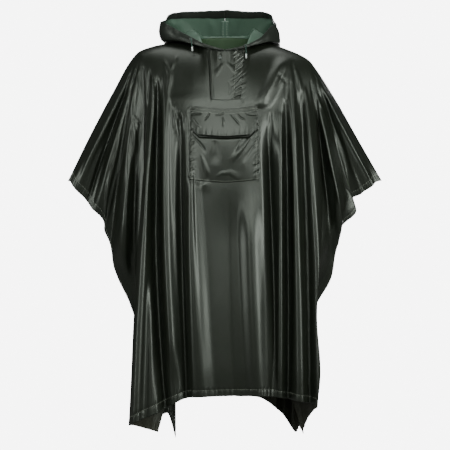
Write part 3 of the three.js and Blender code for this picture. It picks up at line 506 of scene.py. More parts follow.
# Sharper creases on top of the folds, each along its own line on the front view. "left" and
# "right" are its widths on either side, "tall" its height (a groove below 0), and "crest" is
# how sharp it is, from 0 for soft to 1.
frontCreases = [
    {"on": "sleeve", "line": [(-285, -59), (-312, -130), (-339, -190), (-368, -249), (-407, -338), (-442, -451)],
     "left": 10, "right": 12, "tall": 5, "crest": 0.5},
    {"on": "sleeve", "line": [(-279, -59), (-306, -151), (-347, -264), (-386, -368), (-425, -501)],
     "left": 9, "right": 9, "tall": -5, "crest": 0.6},
    {"on": "sleeve", "line": [(-267, -47), (-300, -175), (-327, -264), (-362, -374), (-407, -531)],
     "left": 9, "right": 12, "tall": 7, "crest": 0.6},
    {"on": "sleeve", "line": [(-264, -59), (-282, -130), (-309, -279), (-356, -472), (-383, -576)],
     "left": 9, "right": 9, "tall": -6, "crest": 0.5},
    {"on": "sleeve", "line": [(-255, -47), (-270, -115), (-279, -204), (-300, -323), (-324, -486), (-336, -641)],
     "left": 12, "right": 15, "tall": 9, "crest": 0.5},
    {"on": "sleeve", "line": [(-279, -195), (-261, -222), (-241, -243)],
     "left": 9, "right": 9, "tall": -3, "crest": 0.6},
    {"on": "sleeve", "line": [(-279, -204), (-267, -308), (-270, -427)],
     "left": 12, "right": 12, "tall": 4, "crest": 0.3},
    {"on": "body", "line": [(-246, -47), (-243, -130), (-241, -225), (-243, -338), (-249, -516)],
     "left": 9, "right": 9, "tall": -4, "crest": 0.6},
    {"on": "body", "line": [(-226, -59), (-229, -160), (-232, -279), (-241, -397), (-249, -605), (-270, -843)],
     "left": 9, "right": 12, "tall": -5, "crest": 0.6},
    {"on": "body", "line": [(-217, -77), (-214, -190), (-220, -308), (-232, -457), (-249, -754), (-267, -1250)],
     "left": 12, "right": 12, "tall": 8, "crest": 0.4},
    {"on": "body", "line": [(-223, -694), (-220, -872), (-220, -1250)],
     "left": 12, "right": 12, "tall": 5, "crest": 0.3},
    {"on": "body", "line": [(-202, -83), (-199, -219), (-202, -457), (-208, -605), (-199, -754), (-169, -1250)],
     "left": 12, "right": 12, "tall": -8, "crest": 0.5},
    {"on": "body", "line": [(-184, -77), (-181, -308), (-181, -665), (-157, -1200)],
     "left": 9, "right": 9, "tall": 2, "crest": 0.4},
    {"on": "body", "line": [(-172, -94), (-168, -308), (-166, -694), (-140, -1200)],
     "left": 7, "right": 7, "tall": 1.6, "crest": 0.4},
    {"on": "body", "line": [(-140, -17), (-154, -47), (-165, -74)],
     "left": 9, "right": 9, "tall": 4, "crest": 0.7},
    {"on": "body", "line": [(-187, -32), (-175, -56), (-165, -74), (-168, -136)],
     "left": 9, "right": 12, "tall": 4, "crest": 0.7},
    {"on": "body", "line": [(-166, -160), (-146, -195), (-128, -243)],
     "left": 9, "right": 9, "tall": -5, "crest": 0.6},
    {"on": "body", "line": [(-157, -160), (-143, -249), (-128, -296)],
     "left": 9, "right": 7, "tall": 4, "crest": 0.7},
    {"on": "body", "line": [(-131, -190), (-129, -308), (-127, -368), (-128, -516), (-119, -754), (-104, -1100)],
     "left": 30, "right": 9, "tall": -9, "crest": 0.9},
    {"on": "body", "line": [(-98, -330), (-98, -457), (-95, -754), (-65, -1200)],
     "left": 36, "right": 20, "tall": 8, "crest": 0.2, "ease": 120},
    {"on": "sleeve", "line": [(264, -59), (297, -130), (341, -213), (377, -279), (425, -374), (472, -469)],
     "left": 9, "right": 12, "tall": 5, "crest": 0.5},
    {"on": "sleeve", "line": [(276, -77), (312, -184), (356, -308), (395, -427), (419, -501)],
     "left": 12, "right": 12, "tall": -6, "crest": 0.5},
    {"on": "sleeve", "line": [(276, -148), (300, -204), (324, -267)],
     "left": 6, "right": 6, "tall": 3, "crest": 0.8},
    {"on": "sleeve", "line": [(264, -89), (276, -160), (294, -249), (312, -338), (336, -433), (356, -531)],
     "left": 9, "right": 15, "tall": 8, "crest": 0.5},
    {"on": "sleeve", "line": [(350, -385), (362, -418), (377, -451)],
     "left": 6, "right": 6, "tall": 3, "crest": 0.8},
    {"on": "body", "line": [(255, -89), (267, -175), (279, -308), (288, -457), (300, -635), (306, -843)],
     "left": 9, "right": 9, "tall": -4, "crest": 0.5},
    {"on": "body", "line": [(267, -184), (273, -249), (276, -314)],
     "left": 6, "right": 6, "tall": 3, "crest": 0.8},
    {"on": "body", "line": [(238, -112), (246, -204), (252, -353), (261, -486), (273, -635), (285, -843), (294, -1250)],
     "left": 12, "right": 15, "tall": 8, "crest": 0.5},
    {"on": "body", "line": [(226, -124), (229, -219), (235, -338), (243, -486), (255, -694), (264, -1250)],
     "left": 9, "right": 9, "tall": -3, "crest": 0.5},
    {"on": "body", "line": [(202, -41), (223, -106), (229, -160), (235, -249), (241, -427), (249, -635), (276, -1250)],
     "left": 12, "right": 13, "tall": 6, "crest": 0.5},
    {"on": "body", "line": [(214, -124), (217, -338), (223, -486), (232, -724), (246, -1200)],
     "left": 10, "right": 10, "tall": -4, "crest": 0.5},
    {"on": "body", "line": [(199, -53), (200, -160), (205, -338), (211, -486), (217, -635), (229, -783), (226, -1250)],
     "left": 15, "right": 14, "tall": 4, "crest": 0.2},
    {"on": "body", "line": [(181, -148), (181, -338), (184, -605), (190, -843), (184, -1250)],
     "left": 12, "right": 12, "tall": -7, "crest": 0.4},
    {"on": "body", "line": [(166, -190), (166, -457), (162, -605), (157, -902), (151, -1250)],
     "left": 6, "right": 6, "tall": 4, "crest": 0.7},
    {"on": "body", "line": [(137, -190), (134, -368), (134, -635), (128, -932), (122, -1250)],
     "left": 20, "right": 15, "tall": -5, "crest": 0.9},
    {"on": "body", "line": [(172, -42), (153, -77), (130, -122), (106, -156), (80, -170), (56, -162), (42, -136)],
     "left": 36, "right": 18, "tall": 2.5, "crest": 0.85, "keep": True},
    {"on": "body", "line": [(184, -60), (166, -96), (150, -126)],
     "left": 12, "right": 12, "tall": -2.5, "crest": 0.5},
    {"on": "body", "line": [(195, -36), (198, -77), (196, -128)],
     "left": 34, "right": 8, "tall": 5, "crest": 0.8},
    {"on": "body", "line": [(-176, -150), (-130, -158), (-86, -160), (-40, -158), (-8, -160)],
     "left": 70, "right": 36, "tall": 2.4, "crest": 0.75, "keep": True},
    {"on": "body", "line": [(-114, -190), (-113, -300), (-112, -440)],
     "left": 9, "right": 11, "tall": 4, "crest": 0.3},
    {"on": "body", "line": [(-108, -398), (-76, -416), (-40, -398)],
     "left": 30, "right": 10, "tall": 3, "crest": 0.4},
    {"on": "body", "line": [(154, -77), (175, -97), (196, -118)],
     "left": 9, "right": 9, "tall": -3, "crest": 0.7},
]
backCreases = [
    {"on": "body", "line": [(-228, -70), (-236, -300), (-246, -640), (-250, -1250)],
     "left": 10, "right": 12, "tall": 7, "crest": 0.5},
    {"on": "body", "line": [(-202, -90), (-204, -360), (-208, -700), (-204, -1250)],
     "left": 10, "right": 10, "tall": -7, "crest": 0.5},
    {"on": "body", "line": [(-160, -120), (-156, -420), (-150, -800), (-142, -1250)],
     "left": 12, "right": 10, "tall": 6, "crest": 0.5},
    {"on": "body", "line": [(-118, -200), (-112, -520), (-100, -860), (-96, -1250)],
     "left": 10, "right": 14, "tall": -5, "crest": 0.4},
    {"on": "body", "line": [(-60, -260), (-52, -600), (-44, -1250)],
     "left": 14, "right": 14, "tall": 5, "crest": 0.3},
    {"on": "body", "line": [(6, -280), (10, -620), (18, -1250)],
     "left": 14, "right": 12, "tall": -5, "crest": 0.4},
    {"on": "body", "line": [(66, -240), (70, -600), (76, -1250)],
     "left": 12, "right": 12, "tall": 6, "crest": 0.4},
    {"on": "body", "line": [(122, -180), (126, -520), (128, -1250)],
     "left": 10, "right": 12, "tall": -6, "crest": 0.5},
    {"on": "body", "line": [(172, -110), (178, -460), (182, -860), (184, -1250)],
     "left": 12, "right": 10, "tall": 6, "crest": 0.5},
    {"on": "body", "line": [(222, -90), (232, -420), (236, -820), (228, -1250)],
     "left": 10, "right": 10, "tall": -7, "crest": 0.5},
    {"on": "sleeve", "line": [(-272, -60), (-318, -200), (-372, -360), (-420, -500)],
     "left": 10, "right": 10, "tall": 6, "crest": 0.5},
    {"on": "sleeve", "line": [(-258, -70), (-288, -240), (-322, -420), (-350, -580)],
     "left": 10, "right": 12, "tall": 6, "crest": 0.5},
    {"on": "sleeve", "line": [(272, -66), (322, -210), (378, -370), (424, -500)],
     "left": 10, "right": 10, "tall": 6, "crest": 0.5},
    {"on": "sleeve", "line": [(258, -72), (286, -250), (318, -430), (346, -580)],
     "left": 10, "right": 12, "tall": 6, "crest": 0.5},
    {"on": "body", "line": [(-170, -30), (-130, -110), (-84, -160)],
     "left": 12, "right": 12, "tall": 4, "crest": 0.4},
    {"on": "body", "line": [(176, -34), (140, -116), (92, -170)],
     "left": 12, "right": 12, "tall": 4, "crest": 0.4},
]

sideHem, hemTop = 0.972, 0.98
bodyEnd = [0.4, 0.47]
fullFold = 45.0
pocketHalf = neckHalf = 0.14
placketLeft, placketRight, placketFoot = -0.0525, 0.07, 0.16
pocketTop, pocketFoot = 0.186, 0.388
flapTop, flapFoot, flapCorner, flapCut = 0.19, 0.264, 0.104, 0.023
seamGap = 0.3
cloth = 1.2
onPanel = cloth + seamGap
pocketFill, flapStand, flapCurl = 9.0, 3.0, 0.6
seamSide, frontPart = 1.8, 1.0
halfWidth = 700.0


# Places on every thread at each of the given levels: rows of levels, threads, axes.
def onThreads(threads, atLevels):
    table = np.array([[thread[name] for thread in threads] for name in placeNames], float)
    at = through(levels, table, atLevels)
    over = np.array([thread["over"] for thread in threads], float)[None, :, None]
    t = np.clip(np.asarray(atLevels) / levels[1], 0.0, 1.0)
    roll = np.stack([t, np.sin(t * math.pi / 2), 1 - np.cos(t * math.pi / 2)], axis=-1)[:, None, :]
    arc = table[0][None] + (table[1] - table[0])[None] * roll
    share = over * (1 - t * t)[:, None, None]
    return at + share * (arc - at)


def foldLift(folds, layer, x, z):
    lift = np.zeros_like(x)
    for fold in folds:
        if fold["on"] != layer:
            continue
        drop = fold["top"][1] - fold["low"][1]
        t = (fold["top"][1] - z) / drop
        m = (fold["top"][1] - fold["mid"][1]) / drop
        line = (
            fold["top"][0] * (t - m) * (t - 1) / m
            + fold["mid"][0] * t * (t - 1) / (m * (m - 1))
            + fold["low"][0] * t * (t - m) / (1 - m)
        )
        q = np.clip(np.abs(x - line) / fold["wide"], 0.0, 1.0)
        grown = smoothStep(0, 0.2, t) * (1 - smoothStep(0.86, 1, t))
        round4 = (1 - q * q) ** 2
        shape = round4 if fold["tall"] > 0 else 0.35 * round4 + 0.65 * (1 - np.sqrt(q * q + 0.0016)) ** 2
        lift += fold["tall"] * np.where((t > 0) & (t < 1), grown, 0.0) * np.where(q < 1, shape, 0.0)
    return lift


# A smooth line through a crease's places, as points close together.
def creaseLine(places):
    places = np.array(places, float)
    steps = np.linalg.norm(np.diff(places, axis=0), axis=1)
    reach = np.concatenate([[0.0], np.cumsum(steps)])
    count = max(4, int(reach[-1] / 40))
    return through(reach, places, np.linspace(0, reach[-1], count + 1))


def creaseLift(creases, layer, x, z):
    lift = np.zeros_like(x)
    for crease in creases:
        if crease["on"] != layer:
            continue
        line = creaseLine(crease["line"])
        starts, ends = line[:-1], line[1:]
        steps = np.linalg.norm(ends - starts, axis=1)
        reach = np.concatenate([[0.0], np.cumsum(steps)])
        wide = 1.7 * max(crease["left"], crease["right"])
        near = ((x > line[:, 0].min() - wide) & (x < line[:, 0].max() + wide)
                & (z > line[:, 1].min() - wide) & (z < line[:, 1].max() + wide))
        px, pz = x[near], z[near]
        best = np.full(px.shape, 1e9)
        signed = np.zeros_like(px)
        along = np.zeros_like(px)
        for k, (start, end) in enumerate(zip(starts, ends)):
            d = (end - start) / steps[k]
            t = np.clip((px - start[0]) * d[0] + (pz - start[1]) * d[1], 0, steps[k])
            dx, dz = px - start[0] - t * d[0], pz - start[1] - t * d[1]
            away = np.hypot(dx, dz)
            closer = away < best
            best = np.where(closer, away, best)
            signed = np.where(closer, dx * -d[1] + dz * d[0], signed)
            along = np.where(closer, reach[k] + t, along)
        ease = crease.get("ease", 26.0)
        pointed = 0.35 + 0.65 * smoothStep(0, 3.5 * ease, along) + 0.7 * smoothStep(200, 800, along)
        q = best / (np.where(signed < 0, crease["left"], crease["right"]) * pointed)
        q = np.clip(q, 0.0, 1.0)
        fade = 0.0 if crease["tall"] < 0 or "keep" in crease else 0.8
        crest = crease["crest"] * (1 - fade * smoothStep(150, 600, along))
        blunt = 0.16 * (1.05 - crest)
        tent = 1 - (np.sqrt(q * q + blunt * blunt) - blunt) / (np.sqrt(1 + blunt * blunt) - blunt)
        sharp = 0.5 * tent * (1 + tent * (3 - 2 * tent)) * (1 - q ** 4)
        shape = crest * sharp + (1 - crest) * (1 - q * q) ** 2
        grown = smoothStep(0, min(ease, reach[-1] * 0.3), along)
        grown = grown * (1 - smoothStep(reach[-1] - min(90.0, reach[-1] * 0.4), reach[-1], along))
        lift[near] += crease["tall"] * (1 - 0.45 * smoothStep(250, 800, along)) * grown * shape
    return lift


# Points of a panel over columns of cuts and rows of levels. toFront is -1 on the front.
def panelPoints(threads, folds, creases, toFront, cuts, atLevels):
    guides = onThreads(threads, atLevels)
    knots = [thread["cut"] for thread in threads]
    points = through(knots, guides.transpose(1, 0, 2), cuts).transpose(1, 0, 2).copy()
    x, y, z = points[..., 0], points[..., 1], points[..., 2]
    cut = np.broadcast_to(np.asarray(cuts)[None, :], x.shape)
    level = np.broadcast_to(np.asarray(atLevels)[:, None], x.shape)
    onSleeve = smoothStep(bodyEnd[0], bodyEnd[1], np.abs(cut))
    depth = y * toFront
    room = smoothStep(0, fullFold, depth) * smoothStep(0, 0.07, level)
    lift = room * (foldLift(folds, "body", x, z) * (1 - onSleeve) + foldLift(folds, "sleeve", x, z) * onSleeve)
    close = smoothStep(0, 28, depth) * smoothStep(0, 0.05, level)
    lift = lift + close * (
        creaseLift(creases, "body", x, z) * (1 - onSleeve) + creaseLift(creases, "sleeve", x, z) * onSleeve)
    reach = np.zeros_like(x)
    for lobe in sideLobes:
        q = np.clip(np.abs(level - lobe["at"]) / lobe["wide"], 0, 1)
        here = np.sign(cut) == lobe["side"]
        reach += np.where(here, lobe["side"] * lobe["reach"] * (1 - q * q) ** 2, 0.0)
    points[..., 0] = x + reach * smoothStep(0.78, 1, np.abs(cut))
    points[..., 1] = y + toFront * lift
    return points


# Stitched hems: a groove at the stitches and small uneven puckers between them and the edge.
def hemLift(cut, level, seed):
    toStitch = (level - hemTop) / 0.004
    groove = -0.7 * np.exp(-toStitch ** 2)
    band = smoothStep(hemTop - 0.012, hemTop, level)
    puckers = band * 1.7 * ripple(cut * 330, seed)
    toSide = (np.abs(cut) - sideHem) / 0.006
    groove = groove - 0.6 * np.exp(-toSide ** 2)
    sideBand = smoothStep(sideHem - 0.015, sideHem, np.abs(cut))
    return groove + puckers + sideBand * 0.7 * ripple(level * 520, seed + 1)


def mirroredThreads():
    left = []
    for thread in backThreads[1:]:
        flipped = {"cut": -thread["cut"], "over": thread["over"]}
        for name in placeNames:
            x, y, z = thread[name]
            flipped[name] = [-x, y, z]
        left.append(flipped)
    right = [dict(thread, **backRightFoot.get(thread["cut"], {})) for thread in backThreads]
    guides = left[::-1] + right
    for thread in guides:
        twin = [f for f in frontThreads if f["cut"] == thread["cut"] and thread["over"] >= 0.8]
        if twin:
            x, y, z = twin[0]["top"]
            thread["top"] = [x, y + seamGap, z]
    return guides


def panelGrid(threads, folds, creases, toFront, columns, rows, seed):
    points = panelPoints(threads, folds, creases, toFront, columns, rows)
    if columns[0] > columns[-1]:
        normals = gridNormals(points)
    else:
        normals = gridNormals(points)
    cut = np.broadcast_to(columns[None, :], points.shape[:2])
    level = np.broadcast_to(rows[:, None], points.shape[:2])
    points = points + normals * hemLift(cut, level, seed)[..., None]
    return points, gridNormals(points)


# Front panel.
frontSpec = {"seed": 0.4, "wall": 0.9, "length": 1060.0}
frontColumns = ladder([-1, -sideHem, -0.47, -0.2, -0.066, -0.042, 0.2, 0.47, sideHem, 1],
                      [6, 50, 42, 32, 12, 60, 42, 50, 6])
frontRows = ladder([0, 0.03, 0.2, 0.4, 0.94, hemTop, 1], [8, 48, 38, 40, 10, 8])
front, frontNormals = panelGrid(frontThreads, frontFolds, frontCreases, -1, frontColumns, frontRows, frontSpec["seed"])


def nearRow(value, low, high, soft):
    return smoothStep(low - soft, low, value) * (1 - smoothStep(high, high + soft, value))


# Uneven puckers across a seam that runs down, 7 to 20 mm apart.
def pucker(cut, level, seed):
    down, across = level * frontSpec["length"], cut * halfWidth
    bent = down * 0.36 + 0.22 * across + 1.6 * ripple(across * 0.13 + down * 0.05, seed + 2.0)
    return ripple(bent, seed) * (0.75 + 0.5 * ripple(down * 0.07, seed + 5.0))


# Puckers that the placket's and the pocket's stitching pulls into the panel beside them.
def seamPuckers(cut, level):
    beside = np.exp(-((cut - placketRight - 0.006) / 0.012) ** 2) * nearRow(level, 0.03, 0.17, 0.02)
    lift = beside * 2.6 * pucker(cut, level, 0.7)
    for side in (-1, 1):
        near = np.exp(-((cut * side - pocketHalf) / 0.011) ** 2) * nearRow(level, 0.2, 0.38, 0.02)
        lift = lift + near * 2.2 * pucker(cut, level, 1.9 + side)
    fold = np.exp(-((cut - placketLeft + 0.005) / 0.004) ** 2) * (1 - smoothStep(0.15, 0.168, level))
    lift = lift - 3.0 * fold
    gather = np.exp(-(level / 0.035) ** 2) * nearRow(np.abs(cut), 0.02, 0.13, 0.02)
    return lift + gather * 1.5 * ripple(cut * 260, 2.6) * smoothStep(0.0, 0.012, level)


frontCut = np.broadcast_to(frontColumns[None, :], front.shape[:2])
frontLevel = np.broadcast_to(frontRows[:, None], front.shape[:2])
front = front + frontNormals * seamPuckers(frontCut, frontLevel)[..., None]
frontNormals = gridNormals(front)
frontPanel = makeSheet("frontPanel", front, frontColumns[None, :] * halfWidth, -frontRows[:, None] * frontSpec["length"],
                       [outerCloth, innerCloth], frontSpec["wall"])
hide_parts("front_panel")
print("front panel made")

# Back panel, from the viewer's right to the left.
backSpec = {"seed": 2.2, "wall": 0.9, "length": 1060.0}
backGuides = mirroredThreads()
backColumns = ladder([1, sideHem, 0.47, -0.47, -sideHem, -1], [8, 56, 130, 56, 8])
backRows = ladder([0, 0.03, 0.4, 0.94, hemTop, 1], [8, 50, 36, 10, 8])
back, backNormals = panelGrid(backGuides, backFolds, backCreases, 1, backColumns, backRows, backSpec["seed"])
backPanel = makeSheet("backPanel", back, backColumns[None, :] * halfWidth, -backRows[:, None] * backSpec["length"],
                      [outerCloth, innerCloth], backSpec["wall"])
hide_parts("back_panel")
print("back panel made")

# Hood profiles from the centre front (around 0) to the centre back (1), each station
# [outward, up] from the neckline.
hoodStations = [0, 0.1, 0.28, 0.46, 0.64, 0.84, 1]
rimTop = 0.95
stationNames = ["seam", "roll", "inner", "pouch", "outer", "swell", "rim"]
hoodSections = {
    "left": [
        {"around": 0, "seam": [0, 0.2], "roll": [0, 1], "inner": [0, 2], "pouch": [0.5, 3],
         "outer": [0.5, 4], "swell": [0, 5], "rim": [-0.5, 6]},
        {"around": 0.22, "seam": [0, 0.2], "roll": [2, 6], "inner": [8, 5], "pouch": [13, 4],
         "outer": [17, 7], "swell": [17, 12], "rim": [14, 17]},
        {"around": 0.36, "seam": [0, 0.2], "roll": [4, 22], "inner": [22, 12], "pouch": [42, 3],
         "outer": [52, 7], "swell": [53, 19], "rim": [47, 30]},
        {"around": 0.55, "seam": [0, 0.2], "roll": [12, 27], "inner": [42, 14], "pouch": [78, -10],
         "outer": [100, -5], "swell": [103, 28], "rim": [97, 58]},
        {"around": 0.66, "seam": [0, 0.2], "roll": [20, 24], "inner": [48, 8], "pouch": [84, -36],
         "outer": [114, -26], "swell": [110, 30], "rim": [100, 76]},
        {"around": 0.78, "seam": [0, 0.2], "roll": [12, 8], "inner": [36, -22], "pouch": [76, -122],
         "outer": [116, -86], "swell": [104, 24], "rim": [82, 89]},
        {"around": 1, "seam": [0, 0.2], "roll": [9, 5], "inner": [34, -74], "pouch": [62, -190],
         "outer": [112, -134], "swell": [78, 10], "rim": [44, 88]},
    ],
    "right": [
        {"around": 0, "seam": [0, 0.2], "roll": [0, 1], "inner": [0, 2], "pouch": [0.5, 3],
         "outer": [0.5, 4], "swell": [0, 5], "rim": [-0.5, 6]},
        {"around": 0.22, "seam": [0, 0.2], "roll": [2, 6], "inner": [7, 5], "pouch": [11, 4],
         "outer": [14, 5], "swell": [14, 8], "rim": [12, 12]},
        {"around": 0.36, "seam": [0, 0.2], "roll": [3, 24], "inner": [20, 10], "pouch": [36, 2],
         "outer": [44, 5], "swell": [44, 14], "rim": [40, 24]},
        {"around": 0.55, "seam": [0, 0.2], "roll": [2, 31], "inner": [34, 14], "pouch": [62, -10],
         "outer": [78, -8], "swell": [70, 30], "rim": [58, 52]},
        {"around": 0.66, "seam": [0, 0.2], "roll": [14, 32], "inner": [44, 8], "pouch": [76, -36],
         "outer": [100, -28], "swell": [88, 30], "rim": [70, 74]},
        {"around": 0.78, "seam": [0, 0.2], "roll": [13, 10], "inner": [34, -22], "pouch": [72, -120],
         "outer": [110, -84], "swell": [88, 24], "rim": [68, 86]},
        {"around": 1, "seam": [0, 0.2], "roll": [9, 5], "inner": [34, -74], "pouch": [62, -190],
         "outer": [112, -134], "swell": [78, 10], "rim": [44, 88]},
    ],
}


# The neckline from the centre front round the viewer's left to the centre back and on.
def neckRing():
    edge = np.array([0.0])
    frontCuts = np.linspace(0, neckHalf, 36)
    backCuts = np.linspace(-neckHalf, neckHalf, 75)[1:-1]
    left = panelPoints(frontThreads, [], [], -1, -frontCuts[::-1], edge)[0][::-1]
    right = panelPoints(frontThreads, [], [], -1, frontCuts, edge)[0][::-1]
    middle = panelPoints(backGuides, [], [], 1, backCuts, edge)[0]
    return np.concatenate([left, middle, right]), np.concatenate([-frontCuts, backCuts, frontCuts[::-1]])


ring, ringCuts = neckRing()
lastPlace = len(ring) - 1
backIndex = lastPlace // 2
ringReach = np.concatenate([[0.0], np.cumsum(np.linalg.norm(np.diff(ring, axis=0), axis=1))])
around = np.where(
    np.arange(lastPlace + 1) <= backIndex,
    ringReach / ringReach[backIndex],
    (ringReach[-1] - ringReach) / (ringReach[-1] - ringReach[backIndex]),
)
reachAround = 7
tangent = np.stack([
    ring[min(k + reachAround, lastPlace)] - ring[max(k - reachAround, 0)] for k in range(lastPlace + 1)])
outward = np.stack([-tangent[:, 1], tangent[:, 0], np.zeros(lastPlace + 1)], axis=1)
outward /= np.linalg.norm(outward, axis=1, keepdims=True)
outward[backIndex] = [0, 1, 0]


def hoodPoints(rises):
    points = np.zeros((len(rises), lastPlace + 1, 3))
    for side, part in (("left", slice(0, backIndex + 1)), ("right", slice(backIndex, lastPlace + 1))):
        sections = hoodSections[side]
        beyond = dict(sections[-2], around=2 - sections[-2]["around"])
        table = sections + [beyond]
        knots = [section["around"] for section in table]
        values = np.array([[section[name] for name in stationNames] for section in table], float)
        profile = through(knots, values, around[part])
        offsets = through(hoodStations, profile.transpose(1, 0, 2), rises)
        spot = ring[part][None] + outward[part][None] * (offsets[..., :1] - seamSide)
        spot[..., 2] += offsets[..., 1]
        points[:, part] = spot
    return points


hoodRows = ladder([0, 0.1, 0.46, 0.84, rimTop, 1], [8, 30, 34, 12, 8])
hood = hoodPoints(hoodRows)
hoodNormals = gridNormals(hood)


# Folds of the hood's back wall, seen from inside: shares of the way round at the given rises.
hoodFolds = [
    {"shares": [0.445, 0.4, 0.345], "rises": [0.66, 0.8, 0.94], "wide": 0.03, "tall": 7},
    {"shares": [0.42, 0.375, 0.31], "rises": [0.66, 0.8, 0.94], "wide": 0.022, "tall": -4},
    {"shares": [0.48, 0.47, 0.45], "rises": [0.7, 0.82, 0.94], "wide": 0.02, "tall": 3},
    {"shares": [0.56, 0.6, 0.665], "rises": [0.66, 0.8, 0.94], "wide": 0.03, "tall": 7},
    {"shares": [0.585, 0.635, 0.7], "rises": [0.66, 0.8, 0.94], "wide": 0.022, "tall": -4},
    {"shares": [0.53, 0.54, 0.55], "rises": [0.7, 0.82, 0.94], "wide": 0.02, "tall": -3},
]


# Soft folds inside the hood, gathers at the neck seam and puckers along the drawcord channel.
def hoodLift(places, rises):
    share = places / lastPlace
    lift = 1.6 * ripple(share * 260, 0.9) * nearRow(rises, 0.93, 1.0, 0.04) * smoothStep(0.04, 0.12, share) \
        * (1 - smoothStep(0.88, 0.96, share))
    lift = lift + 1.2 * ripple(share * 150, 3.1) * smoothStep(0.0, 0.06, rises) * (1 - smoothStep(0.1, 0.3, rises))
    for fold in hoodFolds:
        middle = np.interp(rises, fold["rises"], fold["shares"])
        q = np.clip(np.abs(share - middle) / fold["wide"], 0, 1)
        grown = smoothStep(fold["rises"][0] - 0.06, fold["rises"][0] + 0.06, rises)
        lift = lift - fold["tall"] * grown * (1 - smoothStep(0.9, rimTop, rises)) * (1 - q * q) ** 2
    return lift


placeGrid = np.broadcast_to(np.arange(lastPlace + 1, dtype=float)[None, :], hood.shape[:2])
riseGrid = np.broadcast_to(hoodRows[:, None], hood.shape[:2])
hood = hood + hoodNormals * hoodLift(placeGrid, riseGrid)[..., None]
# The rim sags a little toward its corners and waves along its top.
atRim = smoothStep(0.7, 1.0, riseGrid) * smoothStep(0.2, 0.34, placeGrid / lastPlace) \
    * (1 - smoothStep(0.66, 0.8, placeGrid / lastPlace))
hood[..., 2] += atRim * (2.5 - 4.0 * np.clip(np.abs(hood[..., 0] - 6) / 150, 0, 1.2) ** 2
                         + 1.4 * ripple(placeGrid / lastPlace * 60, 2.2))
corners = smoothStep(0.5, 0.84, riseGrid) * smoothStep(90, 150, np.abs(hood[..., 0]))
hood[..., 0] += corners * np.where(hood[..., 0] < 0, -9.0, 5.0)
hoodNormals = gridNormals(hood)


# One half of the hood's grid, with its edges at the centre moved apart.
def halfGrid(points, side):
    part = points[:, :backIndex + 1].copy() if side == "left" else points[:, backIndex:].copy()
    sign = -1 if side == "left" else 1
    ends = (frontPart, seamGap / 2) if side == "left" else (seamGap / 2, frontPart)
    part[:, 0, 0] += sign * ends[0]
    part[:, -1, 0] += sign * ends[1]
    return part


hoodReach = 420.0
hoodHalves, rimHalves = [], []
for side in ("left", "right"):
    part = halfGrid(hood, side)
    spread = np.linspace(0, 330, part.shape[1])[None, :]
    piece = makeSheet("hood" + side.capitalize(), part, spread, -hoodRows[:, None] * hoodReach,
                      [hoodCloth, hoodInner], 0.9)
    hoodHalves.append(piece)
    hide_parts("hood_" + side)

rimRows = hoodRows >= rimTop - 1e-9
channel = hood[rimRows] - hoodNormals[rimRows] * onPanel
for side in ("left", "right"):
    part = halfGrid(channel, side)
    part = part[:, 5:] if side == "left" else part[:, :-5]
    spread = np.linspace(0, 330, part.shape[1])[None, :]
    piece = makeSheet("hoodRim" + side.capitalize(), part, spread, -hoodRows[rimRows][:, None] * hoodReach,
                      [hoodCloth, hoodCloth], 0.9)
    rimHalves.append(piece)
    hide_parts("hood_rim_" + side)

tapeRows = (hoodRows >= 0.1) & (hoodRows <= rimTop - 0.01)
tapeSpec = {"wide": 24.0, "reach": 14}
tapeSteps = np.linspace(-tapeSpec["wide"] / 2, tapeSpec["wide"] / 2, 9)


# Rows of a hood grid beside its centre back, at distances across in mm.
def acrossCentre(grid, lined):
    rows = []
    nearBack = slice(backIndex - tapeSpec["reach"], backIndex + tapeSpec["reach"] + 1)
    for line, values in zip(lined[:, nearBack], grid[:, nearBack]):
        reach = np.concatenate([[0.0], np.cumsum(np.linalg.norm(np.diff(line, axis=0), axis=1))])
        reach = reach - reach[tapeSpec["reach"]]
        rows.append(np.stack([np.interp(tapeSteps, reach, values[:, axis]) for axis in range(3)], axis=1))
    return np.array(rows)


lined = (hood - hoodNormals * onPanel)[tapeRows]
tape = acrossCentre(lined, lined)
tapeNormals = acrossCentre(hoodNormals[tapeRows], lined)
seamTape = makeSheet("hoodSeamTape", tape, tapeSteps[None, :], -hoodRows[tapeRows][:, None] * hoodReach,
                     [tapeCloth, tapeCloth], 0.6)
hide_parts("hood_seam")
print("hood made")


# Pieces on the front panel are made from its own points, moved out.
def onFront(cut, level, lift):
    seat = readGrid(front, frontColumns, frontRows, cut, level)
    normal = readGrid(frontNormals, frontColumns, frontRows, cut, level)
    normal = normal / np.linalg.norm(normal, axis=-1, keepdims=True)
    return seat + normal * np.asarray(lift)[..., None], normal


